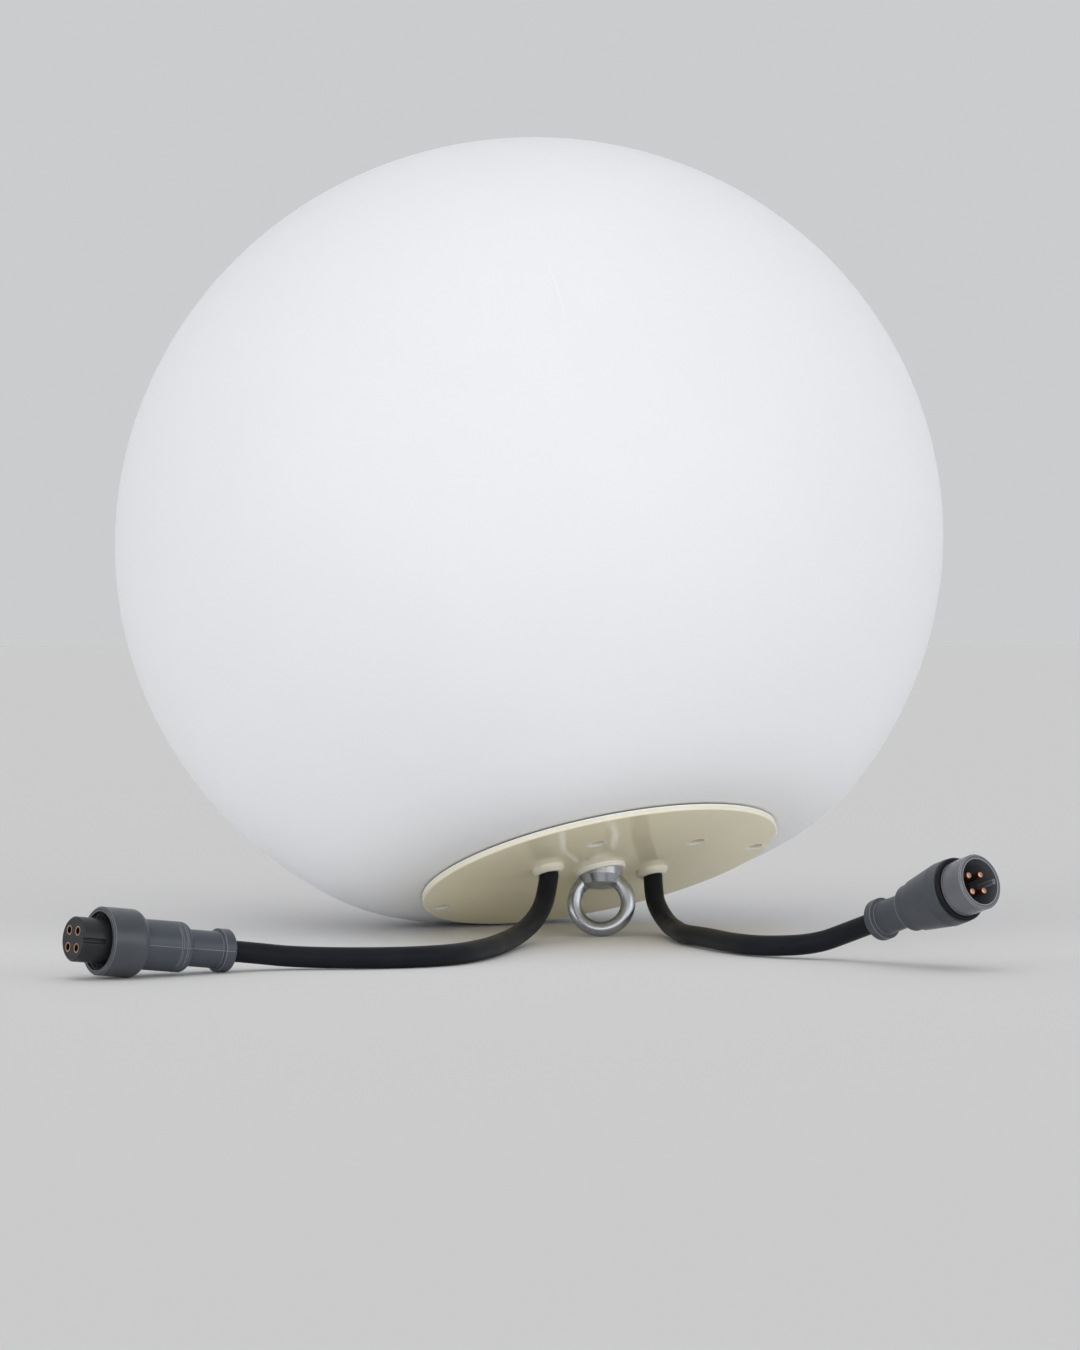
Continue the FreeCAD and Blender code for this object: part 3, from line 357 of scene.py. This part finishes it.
def new_curve(name):
    curve = bpy.data.curves.new(name, "CURVE")
    curve.dimensions = "3D"
    return curve


def add_spline(curve, kind, points):
    """A run through points that are given in metres."""
    spline = curve.splines.new(kind)
    spline.points.add(len(points) - 1)
    for control, point in zip(spline.points, points):
        control.co = (*point, 1)
    return spline


print("a tube has", 4 + 2 * TUBE_ROUNDNESS, "sides")

# %% Lay the cables
CABLE_R = 3.4 * MM
CABLE_ORDER = 3                        # how many points pull at once: fewer keep closer to the points
CABLE_STEPS = 16
# all places in mm
LEFT_EXIT = (-24.936, -49.109, 22.709)
LEFT_POINTS = [(-27.8, -51.8, 16.7), (-32.3, -55.5, 11.4), (-41.0, -61.5, 6.4), (-56.6, -75.2, 3.7),
               (-75.0, -94.1, 3.5), (-94.7, -113.4, 3.5), (-118.5, -129.5, 3.5), (-142.5, -127.5, 3.5),
               (-166.0, -112.5, 3.8)]
LEFT_LAST_RUN = 8.0                    # the straight run into the connector
RIGHT_EXIT = (24.923, -42.237, 20.067)
RIGHT_POINTS = [(22.5, -46.0, 13.2), (20.8, -51.5, 8.4), (16.8, -63.0, 4.1), (7.8, -80.2, 3.6),
                (-2.3, -97.6, 3.6), (-6.8, -117.5, 3.9), (-13.0, -140.0, 3.6), (-13.2, -159.0, 3.7),
                (-4.5, -174.0, 5.0)]
RIGHT_LAST_RUN = 14.5


def make_cable(name, start, route, connector, last_run):
    """A smooth round cable from the grommet to the connector's rear face."""
    rear = connector.to_translation() / MM
    into = connector.to_3x3() @ UP
    points = [Vector(start), *[Vector(p) for p in route], rear - into * last_run, rear]
    curve = new_curve(name)
    spline = add_spline(curve, "NURBS", [point * MM for point in points])
    spline.order_u = CABLE_ORDER
    spline.use_endpoint_u = True
    spline.resolution_u = CABLE_STEPS
    return tube_along(curve, CABLE_R)


left_cable, left_path = make_cable("left_flex", LEFT_EXIT, LEFT_POINTS, socket_frame, LEFT_LAST_RUN)
right_cable, right_path = make_cable("right_flex", RIGHT_EXIT, RIGHT_POINTS, plug_frame, RIGHT_LAST_RUN)
print("points along the cables:", len(left_path), len(right_path))

# %% [markdown]
# ## Parting lines
#
# The socket's body comes from a two-part mould, and a hair-thin line of plastic stands where the halves met.
# A groove cut in the mesh would need the body's faces changed, and a line in the finish alone would vanish up
# close. A thin tube bent along the body's outline, once on each side, does it with real faces.

# %% Make the parting lines
PARTING_R = 0.13 * MM
# radius and height of the socket body's outline, in mm from its rear end face
BODY_OUTLINE = [(6.85, 0.6), (6.85, 3.8), (5.85, 4.4), (5.85, 15.85), (7.2, 16.0), (7.9, 17.2),
                (7.95, 18.2), (7.95, 32.4)]


def make_parting_lines():
    curve = new_curve("socket_parting_lines")
    for side in (-1, 1):
        add_spline(curve, "POLY", [socket_frame @ Vector((side * radius * MM, 0, height * MM))
                                   for radius, height in BODY_OUTLINE])
    lines, _ = tube_along(curve, PARTING_R)
    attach(lines, "lamp")
    return lines


parting_lines = make_parting_lines()
print("parting lines:", round(2 * PARTING_R / MM, 2), "mm thick")

# %% [markdown]
# ## Nut thread
#
# The nut screws over the next lamp's plug, so its bore has a thread: one triangular ridge wound round it. A
# screw modifier winds a profile in one step but leaves its ends open. So the ridge is made point by point,
# with both ends closed, and its crest stays clear of the seal and of the mating barrel. It rides on the nut
# and turns with it.

# %% Make the nut thread
# all sizes in mm
THREAD_R = 9.25                        # the nut's bore
THREAD_ROOT = 0.05                     # how deep the ridge's foot is sunk into the nut
THREAD_H = 0.18
THREAD_PITCH = 1.6
THREAD_FOOT = 0.96                     # the foot's width, as a share of the pitch
THREAD_Z = (38.7, 45.9)                # first and last height above the socket's rear end face
THREAD_STEPS = 40                      # points round one turn


def thread_section(low):
    """Radius and height of the ridge's three corners, where its lower corner is at low."""
    return [(THREAD_R + THREAD_ROOT, low), (THREAD_R - THREAD_H, low + THREAD_PITCH / 2),
            (THREAD_R + THREAD_ROOT, low + THREAD_PITCH * THREAD_FOOT)]


def make_nut_thread():
    shape = bmesh.new()
    count = int((THREAD_Z[1] - THREAD_Z[0] - THREAD_PITCH) / THREAD_PITCH * THREAD_STEPS)
    rings = []
    for i in range(count + 1):
        angle = 2 * math.pi * i / THREAD_STEPS
        corners = thread_section(THREAD_Z[0] + THREAD_PITCH * i / THREAD_STEPS)
        rings.append([shape.verts.new(socket_frame @ Vector((r * math.cos(angle) * MM,
                                                             r * math.sin(angle) * MM, z * MM)))
                      for r, z in corners])
    for here, ahead in zip(rings, rings[1:]):
        for i in range(len(here)):
            shape.faces.new((here[i], here[i - 1], ahead[i - 1], ahead[i]))
    shape.faces.new(rings[0])
    shape.faces.new(reversed(rings[-1]))
    bmesh.ops.recalc_face_normals(shape, faces=shape.faces)
    thread = finished_mesh("nut_thread", shape)
    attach(thread, "coupling_nut")
    print("nut thread:", round(count / THREAD_STEPS, 1), "turns")
    return thread


nut_thread = make_nut_thread()

# %% [markdown]
# ## What hangs on the cables
#
# A cable's length is a fact about the lamp, as its colour is, so it is written down. With it go the place
# where the cable leaves its grommet and the pieces that hang on its far end. It could be measured from the
# mesh, but a mesh that was drawn wrong would then agree with itself.

LEFT_LENGTH = 0.2056
RIGHT_LENGTH = 0.1759
SOCKET_PIECES = ["socket_body", "socket_carrier", "coupling_nut", "socket_contacts", "socket_seal"]
PLUG_PIECES = ["plug_body", "plug_barrel", "plug_insert", "plug_pins", "plug_o_ring"]
for cable, replaced, exit_point, length, path, pieces in (
        (left_cable, "left_cable", LEFT_EXIT, LEFT_LENGTH, left_path,
         [nodes[p] for p in SOCKET_PIECES] + [parting_lines, nut_thread]),
        (right_cable, "right_cable", RIGHT_EXIT, RIGHT_LENGTH, right_path,
         [nodes[p] for p in PLUG_PIECES])):
    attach(cable, "lamp")
    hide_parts(replaced)
    print(cable.name, "is", round(length / MM, 1), "mm long and carries", len(pieces), "pieces")

# %% [markdown]
# ## Finishes
#
# No real surface is one even colour. A painted texture could show that, but it needs a layout of each mesh
# and blurs up close. Noise that is worked out from each point's own place has neither fault. So each finish
# here starts from the same recipe: a colour that drifts a little over some millimetres or centimetres, a
# gloss that drifts too, and a fine grain that only shows as a slight unevenness of the highlights. What
# differs is the scale and the strength, and those are what the eye reads as rubber, moulded plastic or metal.

# %% Clouds and grain
CLOUD_DETAIL = 3.0
CLOUD_ROUGHNESS = 0.55
GRAIN_DETAIL = 2.0
PLASTIC_CLOUDS = 35.0                  # how many clouds go into a metre, where nothing else is said
METAL_CLOUDS = 60.0


def node(tree, kind, **inputs):
    """A shader node with some of its sockets set; an underscore stands for a space."""
    made = tree.nodes.new(kind)
    for key, value in inputs.items():
        made.inputs[key.replace("_", " ")].default_value = value
    return made


def noise(tree, scale, detail=CLOUD_DETAIL):
    """A cloudy value from 0 to 1 in the object's own space; scale is in clouds per metre."""
    where = tree.nodes.new("ShaderNodeTexCoord")
    cloud = node(tree, "ShaderNodeTexNoise", Scale=scale, Detail=detail, Roughness=CLOUD_ROUGHNESS)
    tree.links.new(where.outputs["Object"], cloud.inputs["Vector"])
    return cloud.outputs["Fac"]


def spread(tree, value, low, high, start=0.3, end=0.7):
    """Stretches a value that runs from start to end, as a cloud's mostly does, to run from low to high."""
    ramp = node(tree, "ShaderNodeMapRange", From_Min=start, From_Max=end, To_Min=low, To_Max=high)
    tree.links.new(value, ramp.inputs["Value"])
    return ramp.outputs["Result"]


def add_grain(tree, shader, scale, depth):
    """Fine bumps that only tilt the light: scale is in bumps per metre, depth in metres."""
    bump = node(tree, "ShaderNodeBump", Strength=1.0, Distance=depth)
    tree.links.new(noise(tree, scale, GRAIN_DETAIL), bump.inputs["Height"])
    tree.links.new(bump.outputs["Normal"], shader.inputs["Normal"])


print("clouds on plastic are about", round(1 / PLASTIC_CLOUDS / MM), "mm wide")

# %% [markdown]
# Edges of plastic catch the light as a thin pale line, and here that line is a painted highlight in the
# colour.
# Painting each edge would be slow. The Bevel node gives the normal that an edge would have if it were
# rounded, and where that differs from the true normal there is an edge. The difference is used as a mask, and
# the shape stays sharp.

# %% Plastic, metal and painted highlights on edges
EDGE_SAMPLES = 8
EDGE_FULL = 0.90                       # the two normals' product: 1 where they agree
EDGE_NONE = 0.99


def edge_highlight_mask(tree, width, most):
    """Up to most along sharp edges, where the painted highlight goes, and 0 elsewhere."""
    soft = node(tree, "ShaderNodeBevel", Radius=width)
    soft.samples = EDGE_SAMPLES
    true = tree.nodes.new("ShaderNodeNewGeometry")
    alike = operate(tree, "ShaderNodeVectorMath", "DOT_PRODUCT", soft.outputs["Normal"],
                    true.outputs["Normal"])
    return spread(tree, alike, most, 0.0, EDGE_FULL, EDGE_NONE)


def moulded(name, colour, drift, roughness, grain, depth, specular=0.5, clouds=PLASTIC_CLOUDS, edge=None,
            metallic=0.0):
    """Plastic, rubber or metal.

    The colour drifts from colour to drift in clouds, so many to a metre, and the roughness from its low value
    to its high one. There are grain bumps to a metre, depth metres deep. edge is (colour, width, share) of
    the painted highlight along sharp edges.
    """
    made, tree, shader = material(name)
    shader.inputs["Specular IOR Level"].default_value = specular
    shader.inputs["Metallic"].default_value = metallic
    wide = noise(tree, clouds)
    skin = blend(tree, spread(tree, wide, 0, 1), colour, drift)
    # painted highlight: a paler colour along sharp edges
    if edge:
        highlight_colour, width, share = edge
        skin = blend(tree, edge_highlight_mask(tree, width, share), skin, highlight_colour)
    tree.links.new(skin, shader.inputs["Base Color"])
    tree.links.new(spread(tree, wide, *roughness), shader.inputs["Roughness"])
    add_grain(tree, shader, grain, depth)
    return made


def metal(name, colour, drift, roughness, grain, depth, clouds=METAL_CLOUDS):
    return moulded(name, colour, drift, roughness, grain, depth, clouds=clouds, metallic=1.0)


def dress(finish, *names):
    """Gives pieces of the solid model their finish."""
    for name in names:
        mesh = nodes[name].data
        mesh.materials.clear()
        mesh.materials.append(finish)
    print(finish.name, "on", ", ".join(names))


# %% [markdown]
# ## Opal globe
#
# The globe is moulded in milky plastic. Light goes a few millimetres into it and comes out again, which
# blurs its shading. A see-through wall with a milky filling would show that best, but it renders slowly and
# grainy. Subsurface scattering comes close, and a little of it does more for the look than any colour. The
# skin is satin, with the very soft unevenness of a blown moulding.

# %% Globe
OPAL = (0.855, 0.868, 0.895)
OPAL_DRIFT = (0.835, 0.850, 0.880)
OPAL_SHARE = 0.35                      # how much of the light goes in
OPAL_DEPTH = 6 * MM                    # and how far, for red, green and blue alike
OPAL_SPECULAR = 0.28
OPAL_ROUGHNESS = (0.42, 0.52)
COLOUR_CLOUDS = 9.0                    # all three per metre
GLOSS_CLOUDS = 22.0
WAVES = 120.0
WAVE_DEPTH = 120 * MICRON


def opal_finish():
    made, tree, shader = material("opal_globe")
    shader.inputs["Subsurface Weight"].default_value = OPAL_SHARE
    shader.inputs["Subsurface Radius"].default_value = (1.0, 1.0, 1.0)
    shader.inputs["Subsurface Scale"].default_value = OPAL_DEPTH
    shader.inputs["Specular IOR Level"].default_value = OPAL_SPECULAR
    drifting = blend(tree, spread(tree, noise(tree, COLOUR_CLOUDS), 0, 1), OPAL, OPAL_DRIFT)
    tree.links.new(drifting, shader.inputs["Base Color"])
    tree.links.new(spread(tree, noise(tree, GLOSS_CLOUDS), *OPAL_ROUGHNESS), shader.inputs["Roughness"])
    add_grain(tree, shader, WAVES, WAVE_DEPTH)
    return made


dress(opal_finish(), "globe_shell")

# %% [markdown]
# ## Scratch on the globe
#
# The picture shows one flaw on the globe, and it makes the ball look real: a hair-thin pale scratch near its
# top. Paint placed by the camera would slide when the view turns. So the scratch is a narrow strip of real
# faces that lies on the skin. It runs between two pixels of the picture: each of them gives a ray from the
# camera, and the ray meets the globe at one end of the scratch.

# %% Find the scratch
GLOBE_R = 150.0 * MM
POLE_R = 144.9 * MM                    # the globe is a little flat along the lamp's axis
SCRATCH_PIXELS = ((544.5, 257.0), (565.0, 318.0))


def pixel_ray(pixel):
    """The direction in which the camera sees one pixel of the picture."""
    right, down = off_centre(pixel)
    return (camera.rotation_quaternion @ Vector((right, -down, -1))).normalized()


def on_globe(pixel):
    """Where the camera's ray through a pixel meets the globe, in the lamp's own frame."""
    ray = pixel_ray(pixel)
    flat = Matrix.Diagonal((1 / GLOBE_R, 1 / GLOBE_R, 1 / POLE_R, 1)) @ lamp_frame.inverted()
    start = flat @ camera.location
    step = flat.to_3x3() @ ray
    half = start.dot(step)
    reach = (-half - math.sqrt(half ** 2 - step.dot(step) * (start.dot(start) - 1))) / step.dot(step)
    return lamp_frame.inverted() @ (camera.location + ray * reach)


scratch_ends = [on_globe(pixel) for pixel in SCRATCH_PIXELS]
print("scratch:", round((scratch_ends[1] - scratch_ends[0]).length / MM, 1), "mm long")

# %% Lay the scratch
SCRATCH_BEND = 0.5 * MM                # how far its middle bows out
SCRATCH_W = 0.32 * MM
SCRATCH_TIP = 0.25                     # the ends' width, as a share of the middle's
SCRATCH_STEPS = 14
ABOVE_SKIN = 0.02 * MM


def skin_point(point):
    """Moves a point of the lamp's frame out to just above the globe's skin."""
    size = math.sqrt((point.x ** 2 + point.y ** 2) / GLOBE_R ** 2 + (point.z / POLE_R) ** 2)
    return point / size + point.normalized() * ABOVE_SKIN


def make_scratch(first, last):
    across = first.cross(last - first).normalized()
    shape = bmesh.new()
    pairs = []
    for i in range(SCRATCH_STEPS + 1):
        share = i / SCRATCH_STEPS
        bow = math.sin(math.pi * share)
        middle = first.lerp(last, share) + across * bow * SCRATCH_BEND
        half = SCRATCH_W / 2 * (SCRATCH_TIP + (1 - SCRATCH_TIP) * bow)
        pairs.append([shape.verts.new(lamp_frame @ skin_point(middle + across * side * half))
                      for side in (-1, 1)])
    for here, ahead in zip(pairs, pairs[1:]):
        shape.faces.new((here[0], here[1], ahead[1], ahead[0]))
    scratched = moulded("scratched_opal", colour=(0.93, 0.935, 0.95), drift=(0.91, 0.915, 0.93),
                        roughness=(0.5, 0.6), grain=900.0, depth=20 * MICRON, specular=0.3)
    scratch = finished_mesh("globe_scratch", shape, scratched)
    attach(scratch, "lamp")
    print("scratch:", round(SCRATCH_W / MM, 2), "mm wide in its middle")


make_scratch(*scratch_ends)

# %% [markdown]
# ## Cover plate, washer and grommets
#
# The plate is glossy ivory plastic, and the pale line along its edges and the washer's is a painted
# highlight. It faces the ground, so most of what it shows is a blurred mirror image: the eye's bright arms
# and the cables appear in it as streaks. They could be painted on, but a low roughness gives them by itself,
# and they move with the view.
# The grommets and the washer are of softer, duller stuff. The gasket behind the plate only shows as a dark
# hairline.

# %% Finish the plate, the washer and the grommets
# painted highlight: near-white colour along the edges of the plate and the washer
IVORY_EDGE_HIGHLIGHT = ((0.93, 0.935, 0.94), 2.1 * MM, 1.0)
dress(moulded("ivory_cover", colour=(0.90, 0.845, 0.625), drift=(0.87, 0.81, 0.595), roughness=(0.08, 0.13),
              grain=900.0, depth=20 * MICRON, specular=0.55, clouds=30.0, edge=IVORY_EDGE_HIGHLIGHT), "base_plate")
dress(moulded("ivory_washer", colour=(0.84, 0.81, 0.71), drift=(0.80, 0.76, 0.66), roughness=(0.18, 0.26),
              grain=1200.0, depth=30 * MICRON, clouds=60.0, edge=IVORY_EDGE_HIGHLIGHT), "eye_washer")
dress(moulded("grommet_silicone", colour=(0.82, 0.79, 0.68), drift=(0.74, 0.71, 0.60), roughness=(0.24, 0.34),
              grain=700.0, depth=50 * MICRON, clouds=160.0), "left_grommet", "right_grommet")
dress(moulded("gasket_rubber", colour=(0.14, 0.14, 0.135), drift=(0.10, 0.10, 0.10), roughness=(0.6, 0.75),
              grain=900.0, depth=50 * MICRON), "mouth_gasket")

# %% [markdown]
# ## Steel
#
# The eye is bent from round bar, welded and tumbled: bright, but not a mirror. A mirror with scratches in a
# picture of its own would be one way. A middling roughness is simpler, and blurs the bright floor and the
# dark cables into the same soft bands that tumbled steel shows. The screws are zinc plated and duller.

# %% Finish the eye bolt and the screws
dress(metal("eye_steel", colour=(0.44, 0.458, 0.492), drift=(0.41, 0.428, 0.462), roughness=(0.25, 0.30),
            grain=3200.0, depth=1 * MICRON), "eye_bolt")
dress(metal("zinc_steel", colour=(0.52, 0.52, 0.50), drift=(0.42, 0.42, 0.40), roughness=(0.32, 0.48),
            grain=1800.0, depth=30 * MICRON),
      "rim_screws", "frame_screws", "spring_washer", "eye_nut", "foot_plate", "foot_screws", "end_screws",
      "driver_screws")

# %% [markdown]
# ## Cable jackets
#
# The jackets are black rubber with a dull satin skin. They lie right under the pale plate and the white ball,
# and black that mirrors those turns brown and grey. A darker colour wouldn't help, since the shine lies on
# top of it. So the roughness is raised and the specular level lowered, until only a weak sheen is left.

# %% Finish the jackets
jacket = moulded("cable_jacket", colour=(0.010, 0.011, 0.014), drift=(0.014, 0.015, 0.018),
                 roughness=(0.40, 0.46), grain=1500.0, depth=10 * MICRON, specular=0.07, clouds=90.0)
for cable in (left_cable, right_cable):
    cable.data.materials.append(jacket)
dress(jacket, "left_inner_cable", "right_inner_cable")

# %% [markdown]
# ## Connectors
#
# The connectors are charcoal, and what tells their pieces apart is gloss and a little colour: the bodies are
# moulded with a fine matt skin, the nut is smoother, the plug's barrel is smooth and greyer, and the inserts
# are almost black. One plastic for all would be simpler, but the pieces would melt into one dark lump. Their
# edges carry a painted highlight, a pale line which draws each step and rim.

# %% Finish the bodies, the nut and the barrel
# painted highlight: pale grey colour along the connectors' sharp edges
MOULD_EDGE_HIGHLIGHT = ((0.34, 0.35, 0.37), 0.4 * MM, 0.85)
socket_plastic = moulded("socket_plastic", colour=(0.045, 0.052, 0.066), drift=(0.057, 0.064, 0.079),
                         roughness=(0.32, 0.44), grain=2200.0, depth=30 * MICRON, specular=0.42,
                         clouds=120.0, edge=MOULD_EDGE_HIGHLIGHT)
nut_plastic = moulded("nut_plastic", colour=(0.042, 0.048, 0.058), drift=(0.056, 0.062, 0.072),
                      roughness=(0.26, 0.36), grain=1800.0, depth=30 * MICRON, specular=0.42,
                      clouds=120.0, edge=MOULD_EDGE_HIGHLIGHT)
dress(socket_plastic, "socket_body")
dress(nut_plastic, "coupling_nut")
parting_lines.data.materials.append(socket_plastic)
nut_thread.data.materials.append(nut_plastic)
dress(moulded("plug_plastic", colour=(0.040, 0.046, 0.056), drift=(0.052, 0.058, 0.069),
              roughness=(0.32, 0.44), grain=2200.0, depth=30 * MICRON, specular=0.42, clouds=120.0,
              edge=MOULD_EDGE_HIGHLIGHT), "plug_body")
# the barrel's pale edge colour is a painted highlight
dress(moulded("barrel_plastic", colour=(0.120, 0.126, 0.142), drift=(0.100, 0.105, 0.120),
              roughness=(0.18, 0.28), grain=1500.0, depth=20 * MICRON, clouds=150.0,
              edge=((0.46, 0.47, 0.49), 0.45 * MM, 0.85)), "plug_barrel")

# %% [markdown]
# ## Contacts, inserts and seals
#
# The contacts and pins are bare copper, dulled by handling. A plain copper colour looks new and flat on such
# small pieces, so here the colour drifts to brown within a few millimetres. The inserts that hold them are
# the darkest plastic. The seals are black rubber, and their colour is darker still: painted shade for the
# narrow gap they sit in. They hardly shine.

# %% Finish the inserts, the seals and the contacts
# the inserts' pale edge colour is a painted highlight
dress(moulded("insert_plastic", colour=(0.012, 0.013, 0.015), drift=(0.020, 0.021, 0.023),
              roughness=(0.30, 0.42), grain=1500.0, depth=30 * MICRON, specular=0.3, clouds=60.0,
              edge=((0.14, 0.14, 0.15), 0.12 * MM, 0.6)),
      "socket_carrier", "plug_insert", "driver_chip", "capacitor")
# black rubber, darkened further with painted shade for the narrow gap
dress(moulded("seal_rubber", colour=(0.004, 0.004, 0.005), drift=(0.007, 0.007, 0.008),
              roughness=(0.35, 0.5), grain=1500.0, depth=30 * MICRON, specular=0.18),
      "socket_seal", "plug_o_ring")
dress(metal("contact_copper", colour=(0.74, 0.42, 0.30), drift=(0.58, 0.31, 0.21), roughness=(0.18, 0.32),
            grain=2500.0, depth=10 * MICRON, clouds=400.0), "socket_contacts", "plug_pins")

# %% [markdown]
# ## Inside the globe
#
# Nothing shows through the opal wall, but the lamp is whole. The pieces inside could stay grey. They get
# plain workshop finishes of their own instead, since someone may take the lamp apart: bare aluminium for the
# LED column, the usual white and green for the boards, natural nylon for ties and spacers, and brass.

# %% Finish the light engine
dress(metal("column_aluminium", colour=(0.72, 0.73, 0.74), drift=(0.64, 0.65, 0.66), roughness=(0.3, 0.42),
            grain=700.0, depth=40 * MICRON), "led_column")
dress(metal("insert_brass", colour=(0.70, 0.50, 0.22), drift=(0.62, 0.44, 0.18), roughness=(0.28, 0.4),
            grain=1500.0, depth=20 * MICRON), "rim_inserts")
# name, colour, drift, roughness, depth of the grain in microns, pieces
WORKSHOP_PLASTICS = [
    ("white_mask", (0.78, 0.79, 0.77), (0.73, 0.74, 0.72), (0.3, 0.4), 20,
     ["end_board", "led_board_1", "led_board_2", "led_board_3", "led_board_4"]),
    ("green_mask", (0.02, 0.13, 0.06), (0.03, 0.16, 0.08), (0.28, 0.38), 20, ["driver_board"]),
    ("led_phosphor", (0.82, 0.70, 0.25), (0.78, 0.64, 0.20), (0.25, 0.35), 20,
     ["end_chips", "led_chips_1", "led_chips_2", "led_chips_3", "led_chips_4"]),
    ("terminal_green", (0.04, 0.26, 0.12), (0.05, 0.30, 0.15), (0.35, 0.45), 30, ["terminal_block"]),
    ("natural_nylon", (0.74, 0.72, 0.64), (0.70, 0.68, 0.60), (0.35, 0.5), 30,
     ["left_stop_tie", "right_stop_tie", "driver_spacers"]),
    ("core_insulation", (0.42, 0.03, 0.02), (0.36, 0.02, 0.02), (0.3, 0.4), 20,
     ["left_cores", "right_cores", "column_leads"]),
]
WORKSHOP_GRAIN = 900.0
for name, colour, drift, roughness, depth, pieces in WORKSHOP_PLASTICS:
    dress(moulded(name, colour, drift, roughness, WORKSHOP_GRAIN, depth * MICRON), *pieces)
